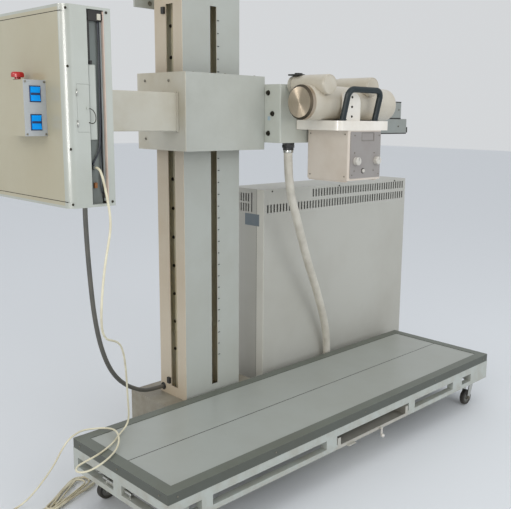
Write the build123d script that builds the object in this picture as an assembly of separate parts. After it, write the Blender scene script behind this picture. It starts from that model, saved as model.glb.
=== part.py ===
"""Containerized x-ray unit: column stand with a counterweighted carriage, an image
receptor cabinet on one arm, a tube head on the other, a low patient trolley and a
high-voltage generator cabinet. Millimetres, +Z up, -Y towards the operator.
The origin is on the floor under the middle of the whole unit."""
from build123d import *
import math
import os

# Overall layout
wall_y = 453.0
beam_x = 264.0
beam_y = -137.0
beam_height = 1441.0
running_gap = 0.3
slide_gap = 0.5
fit_gap = 0.05

# Column stand
column_x = -209.0
column_front = 173.0
column_width = 298.0
column_depth = 182.0
column_top = 2250.0
column_wall = 4.0
column_flange = 58.0
cover_sheet = 3.0
cover_return = 31.0
side_slot_width = 46.0
side_slot_back = 98.0
front_slot_width = 32.0
front_slot_shift = 8.0
slot_low = 277.0
slot_high = 1858.0
plinth_height = 235.0
plinth_width = 478.0
plinth_front = 160.0
plinth_sheet = 4.0
plinth_hole_inset = 40.0
anchor_hole_radius = 6.0
rail_offset = 38.0
rail_thick = 10.0
rail_width = 80.0
stop_size = 26.0
stop_depth = 18.0
stop_reach = 9.0
stop_inset = 10.0
bracket_width = 356.0
bracket_low = 1860.0
bracket_height = 100.0
bracket_plate = 10.0
bracket_web_offset = 60.0
bracket_hole_x = 105.0
bracket_hole_z = 30.0
bracket_hole_radius = 5.5

# Lift cable, pulley and counterweight
pulley_height = 2150.0
pulley_radius = 54.0
pulley_groove = 47.0
pulley_width = 18.0
pulley_y = 252.0
axle_radius = 8.0
cable_radius = 3.0
weight_width = 188.0
weight_depth = 88.0
weight_height = 900.0
weight_low = 505.0
cheek_thick = 8.0
cheek_gap = 22.0

# Carriage
carriage_width = 417.0
carriage_height = 300.0
carriage_low = 1292.0
carriage_front = 80.0
carriage_back = 393.0
carriage_wall = 3.0
carriage_cover_depth = 25.0
cross_bar_depth = 8.0
cross_bar_height = 44.0
clamp_height = 1490.0
clamp_width = 22.0
shoe_size = 40.0
shoe_height = 60.0
shoe_inset = 45.0

# Receptor arm and cabinet
arm_depth = 100.0
arm_height = 145.0
arm_wall = 3.0
cabinet_width = 524.0
cabinet_height = 525.0
cabinet_thick = 140.0
cabinet_face_x = -1037.0
cabinet_sheet = 2.5
cabinet_corner = 28.0
cabinet_plate = 7.0
face_frame_depth = 21.0
side_return = 69.0
window_size = 440.0
window_lap = 8.0
window_thick = 4.0
panel_thick = 34.0
panel_margin = 14.0
panel_face_gap = 8.0
door_width = 36.0
door_height = 124.0
door_height_shift = 1.5
box_depth = 62.0
box_length = 157.0
box_height = 147.0
box_front_shift = 157.0
box_sheet = 3.0
plate_thick = 3.0
rocker_width = 26.0
rocker_height = 37.0
rocker_pitch = 74.0
rocker_travel_gap = 0.65
rocker_crown = 5.0
stop_button_y = 91.0
stop_button_radius = 17.0
stop_stem_radius = 8.0
stop_button_height = 14.0
stop_button_lift = 9.0

# Tube arm
yoke_front = -12.0
yoke_back = 173.0
yoke_width = 393.0
yoke_height = 239.0
yoke_wall = 3.0
yoke_sleeve_radius = 50.0
hub_radius = 35.0
bar_front = -2.0
bar_depth = 80.0
bar_wall = 3.0
upper_bar_reach = 466.0
lower_bar_reach = 516.0
upper_bar_height = 80.0
lower_bar_height = 74.0
bar_split = 1429.5
bar_groove = 3.0
gland_x = 78.0
gland_y = 16.0
gland_length = 34.0
gland_radius = 23.0

# Tube head
tube_height = 1487.0
tube_radius = 70.0
tube_wall = 4.0
tube_end_wall = 14.0
tube_left = 4.0
tube_right = 537.0
tube_shoulder = 10.0
cap_radius = 69.0
cap_length = 26.0
cap_chamfer = 9.0
end_ring_width = 9.0
end_ring_radius = 60.0
end_ring_hole = 42.0
horn_left_x = 67.0
horn_right_x = 342.0
horn_radius = 40.0
horn_height = 1558.0
horn_front = -222.0
horn_back = -42.0
collar_length = 25.0
collar_ribs = 4
bulb_radius = 48.0
bulb_neck = 22.0
slab_width = 340.0
slab_thick = 39.0
slab_front = -252.0
slab_corner = 30.0
back_plate_thick = 12.0
back_plate_width = 200.0
back_plate_height = 128.0
face_plate_left = 150.0
face_plate_width = 112.0
face_plate_thick = 8.0
face_plate_height = 112.0
face_plate_gap = 6.0
handle_width = 210.0
handle_shift = -33.0
handle_height = 124.0
handle_lean = 30.0
handle_bar = 12.5
handle_bend = 32.0

# Collimator
collimator_width = 218.0
collimator_depth = 230.0
collimator_height = 205.0
collimator_wall = 4.0
collimator_edge = 9.0
port_size = 150.0
rail_drop = 7.0
rail_strip = 16.0
front_panel_thick = 3.0
front_panel_margin = 9.0
recess_width = 82.0
recess_height = 34.0
recess_depth = 1.5
recess_drop = 9.0
recess_shift = 12.0
knob_pitch = 135.0
knob_drop = 125.0
knob_radius = 17.0
knob_length = 18.0
knob_shaft = 5.0
button_radius = 8.0
button_drop = 166.0
button_shift = -6.0
button_length = 6.0

# Generator cabinet
generator_left = 132.0
generator_width = 1107.0
generator_front = 218.0
generator_top = 1100.0
generator_base = 60.0
generator_base_inset = 25.0
generator_sheet = 2.0
generator_cover_depth = 48.0
slot_pitch = 20.6
slot_width = 10.0
slot_height = 38.0
lower_slots = 52
upper_slots = 37
lower_row_drop = 108.0
row_gap = 18.0
slot_margin = 26.0
side_slots = 5
side_slot_pitch = 17.0
entry_width = 110.0
entry_height = 108.0
entry_depth = 56.0
coupling_radius = 25.0
coupling_length = 30.0

# Patient trolley
table_length = 2000.0
table_width = 580.0
table_height = 255.0
table_x = 102.0
band_width = 45.0
band_height = 35.0
panel_drop = 2.0
panel_joint = 2.0
upper_rail = 32.0
lower_rail = 20.0
post_shares = ((0, 0.0275), (0.068, 0.0915), (0.3795, 0.41), (0.656, 0.6795), (0.839, 0.88), (0.922, 1))
end_post_width = 50.0
cross_left_share = 0.25
cross_right_share = 0.78
castor_pad = 56.0
window_height = 37.0
frame_tube = 30.0
tray_left = 826.0
tray_width = 480.0
tray_depth = 470.0
tray_height = 46.0
tray_sheet = 2.0
tray_lip = 14.0
tray_flange = 5.0
tray_mouth_margin = 18.0
tray_pivot = 4.0
tab_x = 903.0
tab_width = 44.0
tab_reach = 14.0
tab_thick = 4.0
guide_width = 14.0
guide_height = 24.0
lever_x = 1100.0
lever_length = 34.0
lever_knob = 8.0
lever_boss = 8.7
castor_inset_x = 75.0
castor_inset_y = 55.0
wheel_radius = 37.5
wheel_width = 24.0
castor_trail = 26.0
fork_sheet = 4.0
fork_gap = 1.5
crown_height = 14.0
king_pin = 6.0
king_pin_length = 22.0
wheel_axle = 5.0

# Hose and cord
hose_radius = 19.0
cord_radius = 3.5
cord_exit_x = -1093.0
cord_exit_rise = 106.5
supply_radius = 9.0
supply_x = -788.0
supply_drop = 78.0
supply_foot_y = 336.0
supply_foot_z = 262.0
socket_radius = 7.0
socket_length = 10.0
hank_height = 18.0
hank_gathered = (-990.0, 160.0)
hank_gathered_radius = 30.0
hank_fanned = (-815.0, 250.0)
hank_fanned_radius = 60.0
hank_face = -1016.0
cord_lane = 170.0
plug_lane = 150.0
cord_rest = 5.0
plug_radius = 8.0
plug_neck_radius = 4.5
plug_neck = 12.0
plug_body = 30.0
plug_nose = 12.0


def block(x0, x1, y0, y1, z0, z1):
    """A box between two corners."""
    centre = Pos((x0 + x1) / 2, (y0 + y1) / 2, (z0 + z1) / 2)
    return centre * Box(x1 - x0, y1 - y0, z1 - z0)


def rod_x(x0, x1, y, z, radius):
    return Pos((x0 + x1) / 2, y, z) * Rot(0, 90, 0) * Cylinder(radius, x1 - x0)


def rod_y(x, y0, y1, z, radius):
    return Pos(x, (y0 + y1) / 2, z) * Rot(-90, 0, 0) * Cylinder(radius, y1 - y0)


def rod_z(x, y, z0, z1, radius):
    return Pos(x, y, (z0 + z1) / 2) * Cylinder(radius, z1 - z0)


def upright_edges(shape):
    return shape.edges().filter_by(Axis.Z)


# Places that several pieces share
column_left = column_x - column_width / 2
column_right = column_x + column_width / 2
column_back = column_front + column_depth
side_slot_y = column_back - side_slot_back
front_slot_x = column_x + front_slot_shift
body_front = column_front + cover_sheet
body_left = column_left + cover_sheet
body_right = column_right - cover_sheet
carriage_left = column_x - carriage_width / 2
carriage_right = column_x + carriage_width / 2
carriage_high = carriage_low + carriage_height
shoe_heights = (carriage_low + shoe_inset, carriage_high - shoe_inset)
cabinet_back_x = cabinet_face_x - cabinet_thick
cabinet_near = beam_y - cabinet_width / 2
cabinet_far = beam_y + cabinet_width / 2
cabinet_low = beam_height - cabinet_height / 2
cabinet_high = beam_height + cabinet_height / 2
cord_exit_z = cabinet_low + cord_exit_rise
arm_low = beam_height - arm_height / 2
arm_high = beam_height + arm_height / 2
yoke_left = carriage_right
yoke_right = yoke_left + yoke_width
yoke_low = beam_height - yoke_height / 2
yoke_high = beam_height + yoke_height / 2
slab_top = tube_height - tube_radius
slab_low = slab_top - slab_thick
back_plate_back = yoke_front - running_gap * 10
back_plate_front = back_plate_back - back_plate_thick
collimator_low = slab_low - collimator_height
collimator_front = beam_y - collimator_depth / 2
panel_front = collimator_front - front_panel_thick
frame_top = table_height - band_height
frame_low = frame_top - upper_rail - window_height - lower_rail
table_left = table_x - table_length / 2
table_right = table_x + table_length / 2
table_near = beam_y - table_width / 2
table_far = beam_y + table_width / 2
tray_x0 = table_left + tray_left
tray_x1 = tray_x0 + tray_width
generator_right = generator_left + generator_width
body_y = generator_front + generator_cover_depth


def column_body():
    """Folded steel column: back, two slotted sides and two front flanges."""
    outer = block(body_left, body_right, body_front, column_back, plinth_height, column_top)
    inner = block(body_left + column_wall, body_right - column_wall, body_front + column_wall,
                  column_back - column_wall, plinth_height, column_top)
    mouth = block(body_left + column_flange, body_right - column_flange, body_front,
                  body_front + column_wall, plinth_height, column_top)
    slot = block(column_left, column_right, side_slot_y - side_slot_width / 2,
                 side_slot_y + side_slot_width / 2, slot_low, slot_high)
    return outer - inner - mouth - slot


def column_cover():
    """Front cover of the column, wrapped round its sides, with the long front slot."""
    outer = block(column_left, column_right, column_front, column_front + cover_return,
                  plinth_height, column_top)
    inner = block(body_left, body_right, body_front, column_front + cover_return,
                  plinth_height, column_top)
    shell = fillet((outer - inner).edges().filter_by(Axis.Z).group_by(Axis.Y)[0], 2.0)
    slot = block(front_slot_x - front_slot_width / 2, front_slot_x + front_slot_width / 2,
                 column_front, body_front, slot_low, slot_high)
    return shell - slot


def column_head():
    """Head plate on the column with two cheeks and the pulley's axle."""
    plate = block(column_left, column_right, column_front, column_back, column_top, column_top + 8)
    head = plate
    for side in (-1, 1):
        x = front_slot_x + side * (cheek_gap + cheek_thick) / 2
        cheek = block(x - cheek_thick / 2, x + cheek_thick / 2, pulley_y - 25, pulley_y + 25,
                      pulley_height - 25, column_top)
        head = head + cheek
    half = cheek_gap / 2 + cheek_thick
    return head + rod_x(front_slot_x - half, front_slot_x + half, pulley_y, pulley_height, axle_radius)


def rail_places():
    """The inner and outer X of each guide rail, left then right."""
    left = body_left + rail_offset
    right = body_right - rail_offset
    return ((left, left + rail_thick), (right - rail_thick, right))


def guide_rails():
    """Two flat guide rails behind the side slots, from the plinth to the head plate."""
    rails = []
    for x0, x1 in rail_places():
        rails.append(block(x0, x1, side_slot_y - rail_width / 2, side_slot_y + rail_width / 2,
                           plinth_height, column_top))
    return rails


def rail_stops():
    """Rubber blocks beside the side slots that end the carriage's travel."""
    blocks = []
    y = side_slot_y + side_slot_width / 2 + cover_sheet
    for x0, x1 in ((body_left - stop_reach, body_left), (body_right, body_right + stop_reach)):
        for z in (slot_low + stop_inset, slot_high - stop_size - stop_inset):
            blocks.append(block(x0, x1, y, y + stop_depth, z, z + stop_size))
    return blocks


def base_plinth():
    """Sheet steel plinth under the column, open below, with foot flanges to the floor."""
    x0 = column_x - plinth_width / 2
    x1 = column_x + plinth_width / 2
    back = wall_y - 1
    outer = block(x0, x1, plinth_front, back, 0, plinth_height)
    outer = fillet(upright_edges(outer), 6.0)
    inner = block(x0 + plinth_sheet, x1 - plinth_sheet, plinth_front + plinth_sheet,
                  back - plinth_sheet, 0, plinth_height - plinth_sheet)
    shell = outer - inner
    flange = 2 * plinth_hole_inset
    for y0, y1 in ((plinth_front + plinth_sheet, plinth_front + flange), (back - flange, back - plinth_sheet)):
        shell = shell + block(x0 + plinth_sheet, x1 - plinth_sheet, y0, y1, 0, plinth_sheet)
    for x in (x0 + plinth_hole_inset, x1 - plinth_hole_inset):
        for y in (plinth_front + plinth_hole_inset, back - plinth_hole_inset):
            shell = shell - rod_z(x, y, 0, plinth_sheet, anchor_hole_radius)
    return shell


def wall_bracket():
    """Wall plate with two webs that hold the column upright."""
    half = bracket_width / 2
    top = bracket_low + bracket_height
    plate = block(column_x - half, column_x + half, wall_y - bracket_plate, wall_y, bracket_low, top)
    for side in (-1, 1):
        x = column_x + side * bracket_web_offset
        plate = plate + block(x - 4, x + 4, column_back, wall_y - bracket_plate, bracket_low, top)
        for z in (bracket_low + bracket_height / 2 - bracket_hole_z,
                  bracket_low + bracket_height / 2 + bracket_hole_z):
            hole_x = column_x + side * bracket_hole_x
            plate = plate - rod_y(hole_x, wall_y - bracket_plate, wall_y, z, bracket_hole_radius)
    return plate


def head_pulley():
    """Grooved sheave at the column's head."""
    half = pulley_width / 2
    rim = pulley_radius
    groove = pulley_groove
    with BuildPart() as sheave:
        with BuildSketch(Plane.XZ):
            with BuildLine():
                Polyline((-half, axle_radius + fit_gap), (-half, rim), (-half + 3, rim))
                Polyline((half - 3, rim), (half, rim), (half, axle_radius + fit_gap),
                         (-half, axle_radius + fit_gap))
                Line((-half + 3, rim), (-cable_radius - 0.3, groove + 3))
                ThreePointArc((-cable_radius - 0.3, groove + 3), (0, groove),
                              (cable_radius + 0.3, groove + 3))
                Line((cable_radius + 0.3, groove + 3), (half - 3, rim))
            make_face()
        revolve(axis=Axis.X)
    return Pos(front_slot_x, pulley_y, pulley_height) * sheave.part


def cable_line():
    """Centre radius of the lift cable on its pulley."""
    return pulley_groove + cable_radius + running_gap


def lift_cable():
    """Steel rope from the carriage's clamp over the pulley to the counterweight."""
    r = cable_line()
    front = pulley_y - r
    back = pulley_y + r
    x = front_slot_x
    run_up = Line((x, front, clamp_height + cross_bar_height / 2), (x, front, pulley_height))
    over = ThreePointArc((x, front, pulley_height), (x, pulley_y, pulley_height + r), (x, back, pulley_height))
    run_down = Line((x, back, pulley_height), (x, back, weight_low + weight_height))
    path = Wire([run_up, over, run_down])
    section = Plane(origin=path @ 0, z_dir=path % 0) * Circle(cable_radius)
    return sweep(section, path)


def counterweight():
    """Cast iron weight that rides inside the column and balances the carriage."""
    y = pulley_y + cable_line()
    body = block(column_x - weight_width / 2, column_x + weight_width / 2, y - weight_depth / 2,
                 y + weight_depth / 2, weight_low, weight_low + weight_height)
    return chamfer(body.edges().filter_by(Axis.Z), 6.0)


def carriage_shell():
    """Folded ring of sheet steel round the column, with the cross bar and rope clamp."""
    start = carriage_front + carriage_cover_depth
    outer = block(carriage_left, carriage_right, start, carriage_back, carriage_low, carriage_high)
    inner = block(carriage_left + carriage_wall, carriage_right - carriage_wall, start,
                  carriage_back - carriage_wall, carriage_low, carriage_high)
    ring = outer - inner
    low = clamp_height - cross_bar_height / 2
    high = clamp_height + cross_bar_height / 2
    bar = block(carriage_left, carriage_right, start, start + cross_bar_depth, low, high)
    rope_y = pulley_y - cable_line()
    clamp = block(front_slot_x - clamp_width / 2, front_slot_x + clamp_width / 2, start,
                  rope_y + 8, low, high)
    return ring + bar + clamp


def carriage_cover():
    """Front cover of the carriage, a shallow folded tray."""
    end = carriage_front + carriage_cover_depth
    outer = block(carriage_left, carriage_right, carriage_front, end, carriage_low, carriage_high)
    rim = outer.edges().filter_by(Axis.Z).group_by(Axis.Y)[0]
    outer = fillet(rim, 3.0)
    inner = block(carriage_left + carriage_wall, carriage_right - carriage_wall,
                  carriage_front + carriage_wall, end, carriage_low + carriage_wall,
                  carriage_high - carriage_wall)
    return outer - inner


def guide_shoes():
    """Four sliding shoes that reach through the side slots to the guide rails."""
    rails = rail_places()
    spans = ((carriage_left + carriage_wall, rails[0][0] - running_gap),
             (rails[1][1] + running_gap, carriage_right - carriage_wall))
    shoes = []
    for x0, x1 in spans:
        for z in shoe_heights:
            shoe = block(x0, x1, side_slot_y - shoe_size / 2, side_slot_y + shoe_size / 2,
                         z - shoe_height / 2, z + shoe_height / 2)
            shoes.append(chamfer(shoe.edges().filter_by(Axis.X), 3.0))
    return Compound(children=shoes)


def long_bar(x0, x1, y0, y1, z0, z1, edge):
    """A solid bar along X with rounded long edges."""
    return fillet(block(x0, x1, y0, y1, z0, z1).edges().filter_by(Axis.X), edge)


def receptor_arm():
    """Rectangular arm from the carriage's side to the cabinet's rear side."""
    x0 = cabinet_back_x + 25
    y0 = cabinet_far
    outer = long_bar(x0, carriage_left, y0, y0 + arm_depth, arm_low, arm_high, 4.0)
    inner = block(x0 + arm_wall, carriage_left, y0 + arm_wall, y0 + arm_depth - arm_wall,
                  arm_low + arm_wall, arm_high - arm_wall)
    return outer - inner


def cabinet_outline(inset, depth_from, depth_to):
    """Cabinet section seen from above, rounded at its rear corners, full height."""
    body = block(depth_from, depth_to, cabinet_near + inset, cabinet_far - inset,
                 cabinet_low + cabinet_plate, cabinet_high - cabinet_plate)
    rear = body.edges().filter_by(Axis.Z).group_by(Axis.X)[0]
    return fillet(rear, cabinet_corner - inset)


def cabinet_cover():
    """Rear cover of the cabinet, bent round both vertical corners, with the door's notch."""
    end = cabinet_back_x + side_return
    outer = cabinet_outline(0, cabinet_back_x, end)
    inner = cabinet_outline(cabinet_sheet, cabinet_back_x + cabinet_sheet, end)
    door_mid = beam_height + door_height_shift
    notch = block(end - door_width - slide_gap, end, cabinet_near, cabinet_near + cabinet_sheet,
                  door_mid - door_height / 2 - slide_gap, door_mid + door_height / 2 + slide_gap)
    stem_hole = block(cabinet_back_x, cabinet_back_x + cabinet_sheet, beam_y - box_front_shift + 40,
                      beam_y - box_front_shift + 70, beam_height - 15, beam_height + 15)
    return outer - inner - notch - stem_hole


def cabinet_frame():
    """Face frame of the cabinet with its top and bottom plates and the window opening."""
    x1 = cabinet_face_x
    x0 = x1 - face_frame_depth
    sheet = cabinet_sheet
    outer = block(x0, x1, cabinet_near, cabinet_far, cabinet_low, cabinet_high)
    inner = block(x0, x1 - sheet, cabinet_near + sheet, cabinet_far - sheet,
                  cabinet_low + sheet, cabinet_high - sheet)
    half = window_size / 2
    opening = block(x1 - sheet, x1, beam_y - half, beam_y + half, beam_height - half, beam_height + half)
    frame = outer - inner - opening
    for z0 in (cabinet_low, cabinet_high - cabinet_plate):
        plate = block(cabinet_back_x, x0, cabinet_near, cabinet_far, z0, z0 + cabinet_plate)
        rear = plate.edges().filter_by(Axis.Z).group_by(Axis.X)[0]
        frame = frame + fillet(rear, cabinet_corner)
    return frame


def cabinet_window():
    """Radiolucent window plate behind the face frame's opening."""
    half = window_size / 2 + window_lap
    x1 = cabinet_face_x - cabinet_sheet
    return block(x1 - window_thick, x1, beam_y - half, beam_y + half, beam_height - half, beam_height + half)


def receptor_panel():
    """Image receptor in its grey case, standing on the cabinet's bottom plate."""
    x1 = cabinet_face_x - face_frame_depth - panel_face_gap
    body = block(x1 - panel_thick, x1, cabinet_near + panel_margin, cabinet_far - panel_margin,
                 cabinet_low + cabinet_plate, cabinet_high - cabinet_plate)
    body = fillet(body.edges().filter_by(Axis.Z), 4.0)
    y0 = cabinet_near + panel_margin
    return body + rod_y(cord_exit_x, y0 - socket_length, y0 + 2, cord_exit_z, socket_radius)


def service_door():
    """Small hinged door in the cabinet's near side."""
    x1 = cabinet_back_x + side_return
    mid = beam_height + door_height_shift
    leaf = block(x1 - door_width, x1, cabinet_near, cabinet_near + cabinet_sheet,
                 mid - door_height / 2, mid + door_height / 2)
    lock = rod_y(x1 - 6, cabinet_near - 2, cabinet_near + 12, mid, 4.0)
    return leaf + lock


def control_box():
    """Control box on the cabinet's rear, open towards its control plate."""
    x1 = cabinet_back_x
    x0 = x1 - box_depth
    y0 = beam_y - box_front_shift
    y1 = y0 + box_length
    z0 = beam_height - box_height / 2
    z1 = beam_height + box_height / 2
    outer = fillet(block(x0, x1, y0, y1, z0, z1).edges().filter_by(Axis.Z).group_by(Axis.X)[0], 3.0)
    inner = block(x0 + box_sheet, x1 - box_sheet, y0, y1 - box_sheet, z0 + box_sheet, z1 - box_sheet)
    hole = rod_z(x0 + box_depth / 2, y0 + stop_button_y, z1 - box_sheet, z1, stop_stem_radius + fit_gap)
    return outer - inner - hole


def rocker_mids():
    return (beam_height + rocker_pitch / 2, beam_height - rocker_pitch / 2)


def control_plate():
    """Plate with two cut-outs that closes the control box's near side."""
    x1 = cabinet_back_x
    x0 = x1 - box_depth
    y1 = beam_y - box_front_shift
    plate = block(x0, x1, y1 - plate_thick, y1, beam_height - box_height / 2, beam_height + box_height / 2)
    half_w = rocker_width / 2 + rocker_travel_gap
    half_h = rocker_height / 2 + rocker_travel_gap
    mid_x = x0 + box_depth / 2
    for z in rocker_mids():
        plate = plate - block(mid_x - half_w, mid_x + half_w, y1 - plate_thick, y1, z - half_h, z + half_h)
    return plate


def rocker(mid_z):
    """Rocker switch paddle: two slopes that meet at a valley, on a half-round keel."""
    y_face = beam_y - box_front_shift - plate_thick
    half_w = rocker_width / 2
    half_h = rocker_height / 2
    points = [(0, -1.0), (half_h, -rocker_crown), (half_h, 4), (-half_h, 4), (-half_h, -rocker_crown)]
    profile = Polyline([(y, z) for z, y in points], close=True)
    face = Plane.YZ * make_face(profile)
    paddle = extrude(face, half_w, both=True)
    keel = rod_x(-half_w, half_w, 4, 0, 6.0)
    mid_x = cabinet_back_x - box_depth / 2
    return Pos(mid_x, y_face, mid_z) * (paddle + keel)


def stop_button():
    """Mushroom emergency stop on the control box's top."""
    x = cabinet_back_x - box_depth / 2
    y = beam_y - box_front_shift + stop_button_y
    z = beam_height + box_height / 2
    stem = rod_z(x, y, z - box_sheet - 6, z + stop_button_lift, stop_stem_radius)
    head = rod_z(x, y, z + stop_button_lift, z + stop_button_lift + stop_button_height, stop_button_radius)
    head = fillet(head.edges().group_by(Axis.Z)[-1], 6.0)
    return stem + head


def yoke_box():
    """Welded box on the carriage's side that carries the tube head's swivel bearing."""
    outer = block(yoke_left, yoke_right, yoke_front, yoke_back, yoke_low, yoke_high)
    outer = fillet(outer.edges().filter_by(Axis.Z), 5.0)
    wall = yoke_wall
    inner = block(yoke_left + wall, yoke_right - wall, yoke_front + wall, yoke_back - wall,
                  yoke_low + wall, yoke_high - wall)
    sleeve = rod_y(beam_x, yoke_front, yoke_back, beam_height, yoke_sleeve_radius)
    bore = rod_y(beam_x, yoke_front, yoke_back - wall, beam_height, hub_radius + fit_gap)
    return outer - inner + sleeve - bore


def arm_bars():
    """Two rectangular bars, one over the other, that run on from the yoke box."""
    split_low = bar_split - bar_groove / 2
    split_high = bar_split + bar_groove / 2
    bars = []
    for x1, z0, z1 in ((yoke_right + upper_bar_reach, split_high, split_high + upper_bar_height),
                       (yoke_right + lower_bar_reach, split_low - lower_bar_height, split_low)):
        y1 = bar_front + bar_depth
        outer = long_bar(yoke_right, x1, bar_front, y1, z0, z1, 3.0)
        inner = block(yoke_right, x1 - bar_wall, bar_front + bar_wall, y1 - bar_wall,
                      z0 + bar_wall, z1 - bar_wall)
        bars.append(outer - inner)
    return Compound(children=bars)


def hose_gland():
    """Threaded gland under the yoke box where the hose is clamped."""
    z1 = yoke_low
    nut = Pos(gland_x, gland_y, z1 - 7) * extrude(RegularPolygon(gland_radius + 3, 6), 7)
    sleeve = rod_z(gland_x, gland_y, z1 - gland_length, z1 - 7, gland_radius)
    sleeve = chamfer(sleeve.edges().group_by(Axis.Z)[0], 3.0)
    return nut + sleeve


def head_bracket():
    """Cast bracket of the tube head: swivel hub, back plate, cradle slab and face plate."""
    slab = block(beam_x - slab_width / 2, beam_x + slab_width / 2, slab_front, back_plate_back,
                 slab_low, slab_top)
    slab = fillet(upright_edges(slab).group_by(Axis.Y)[0], slab_corner)
    half = back_plate_width / 2
    plate = block(beam_x - half, beam_x + half, back_plate_front, back_plate_back, slab_low,
                  slab_low + back_plate_height)
    flange = rod_y(beam_x, back_plate_front, yoke_front - running_gap, beam_height, hub_radius + 25)
    shaft = rod_y(beam_x, back_plate_front, yoke_back - yoke_wall - 5, beam_height, hub_radius)
    y1 = beam_y - tube_radius - face_plate_gap
    z1 = slab_top + face_plate_height
    face = block(face_plate_left, face_plate_left + face_plate_width, y1 - face_plate_thick, y1,
                 slab_top, z1)
    right = face.edges().filter_by(Axis.Y).group_by(Axis.X)[-1].sort_by(Axis.Z)[-1]
    face = fillet(right, 40.0)
    clear = rod_x(beam_x - slab_width, beam_x + slab_width, beam_y, tube_height, tube_radius + running_gap)
    return slab + plate + flange + shaft + face - clear


def tube_housing():
    """Cast tube housing with two high-voltage horns across its top, open at its left end."""
    length = tube_right - tube_left
    body = rod_x(tube_left, tube_right, beam_y, tube_height, tube_radius)
    body = fillet(body.edges().group_by(Axis.X)[-1], tube_shoulder)
    for x in (horn_left_x, horn_right_x):
        horn = rod_y(x, horn_front, horn_back, horn_height, horn_radius)
        horn = fillet(horn.edges().group_by(Axis.Y)[0], 8.0)
        neck = block(x - horn_radius * 0.8, x + horn_radius * 0.8, beam_y - 45, beam_y + 45,
                     tube_height, horn_height)
        body = body + horn + neck
    bore = rod_x(tube_left, tube_right - tube_end_wall, beam_y, tube_height, tube_radius - tube_wall)
    return body - bore


def end_cap():
    """Turned steel cap that closes the housing's left end."""
    cap = rod_x(tube_left - cap_length, tube_left, beam_y, tube_height, cap_radius)
    cap = chamfer(cap.edges().group_by(Axis.X)[0], cap_chamfer)
    spigot = rod_x(tube_left, tube_left + 8, beam_y, tube_height, tube_radius - tube_wall - running_gap)
    return cap + spigot


def end_ring():
    """Dark rubber ring on the housing's right end."""
    x1 = tube_right + end_ring_width
    ring = rod_x(tube_right, x1, beam_y, tube_height, end_ring_radius)
    ring = fillet(ring.edges().group_by(Axis.X)[-1], 3.0)
    return ring - rod_x(tube_right, x1, beam_y, tube_height, end_ring_hole)


def horn_collars():
    """Ribbed cable collars at the rear ends of both horns."""
    collars = []
    step = collar_length / (2 * collar_ribs)
    for x in (horn_left_x, horn_right_x):
        collar = rod_y(x, horn_back, horn_back + collar_length, horn_height, horn_radius - 7)
        for i in range(collar_ribs):
            y = horn_back + 2 * i * step
            collar = collar + rod_y(x, y, y + step, horn_height, horn_radius - 3)
        collars.append(collar)
    return Compound(children=collars)


def tube_insert():
    """Glass x-ray tube inside the housing, standing on its cathode end's boss."""
    x_end = tube_right - tube_end_wall
    bulb = rod_x(tube_left + 70, x_end - 90, beam_y, tube_height, bulb_radius)
    bulb = fillet(bulb.edges(), 18.0)
    neck = rod_x(tube_left + 30, x_end, beam_y, tube_height, bulb_neck)
    return bulb + neck


def handle():
    """Black bent handle bar in front of the tube head."""
    mid = beam_x + handle_shift
    foot_y = slab_front + handle_bar
    points = [
        (mid - handle_width / 2, foot_y, slab_top),
        (mid - handle_width / 2, foot_y - handle_lean, slab_top + handle_height),
        (mid + handle_width / 2, foot_y - handle_lean, slab_top + handle_height),
        (mid + handle_width / 2, foot_y, slab_top),
    ]
    path = FilletPolyline(*points, radius=handle_bend)
    section = Plane(origin=points[0], z_dir=path % 0) * Circle(handle_bar)
    bar = sweep(section, path)
    reach = handle_bar * 3
    cut = block(mid - handle_width, mid + handle_width, foot_y - reach, foot_y + reach,
                slab_top - reach, slab_top)
    return bar - cut


def collimator_housing():
    """Collimator box under the slab, with its beam port and two accessory rails."""
    x0 = beam_x - collimator_width / 2
    x1 = beam_x + collimator_width / 2
    y0 = collimator_front
    y1 = collimator_front + collimator_depth
    outer = fillet(block(x0, x1, y0, y1, collimator_low, slab_low).edges().filter_by(Axis.Z), collimator_edge)
    wall = collimator_wall
    inner = block(x0 + wall, x1 - wall, y0 + wall, y1 - wall, collimator_low + wall, slab_low - wall)
    half = port_size / 2
    port = block(beam_x - half, beam_x + half, beam_y - half, beam_y + half, collimator_low,
                 collimator_low + wall)
    box = outer - inner - port
    for x in (x0 + 4, x1 - 4 - rail_strip):
        strip = block(x, x + rail_strip, y0 + 18, y1 - 8, collimator_low - rail_drop, collimator_low)
        box = box + strip
    for x, z, radius in knob_places() + button_place():
        box = box - rod_y(x, y0, y0 + wall, z, radius + fit_gap)
    return box


def knob_places():
    z = slab_low - knob_drop
    mid = beam_x + 3
    return [(mid - knob_pitch / 2, z, knob_shaft), (mid + knob_pitch / 2, z, knob_shaft)]


def button_place():
    return [(beam_x + button_shift - 10, slab_low - button_drop, button_radius)]


def collimator_panel():
    """Front panel of the collimator with its recess and the holes for the controls."""
    x0 = beam_x - collimator_width / 2 + front_panel_margin
    x1 = beam_x + collimator_width / 2 - front_panel_margin
    z1 = slab_low - front_panel_margin / 2
    z0 = collimator_low + front_panel_margin
    panel = block(x0, x1, panel_front, collimator_front, z0, z1)
    panel = fillet(panel.edges().filter_by(Axis.Y), 5.0)
    left = beam_x + recess_shift - recess_width / 2
    top = slab_low - recess_drop
    panel = panel - block(left, left + recess_width, panel_front, panel_front + recess_depth,
                          top - recess_height, top)
    for x, z, radius in knob_places() + button_place():
        panel = panel - rod_y(x, panel_front, collimator_front, z, radius + fit_gap)
    return panel


def collimator_window():
    """Clear window plate in the collimator's beam port, resting on its bottom wall."""
    half = port_size / 2 + 8
    z0 = collimator_low + collimator_wall
    return block(beam_x - half, beam_x + half, beam_y - half, beam_y + half, z0, z0 + 3)


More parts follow.
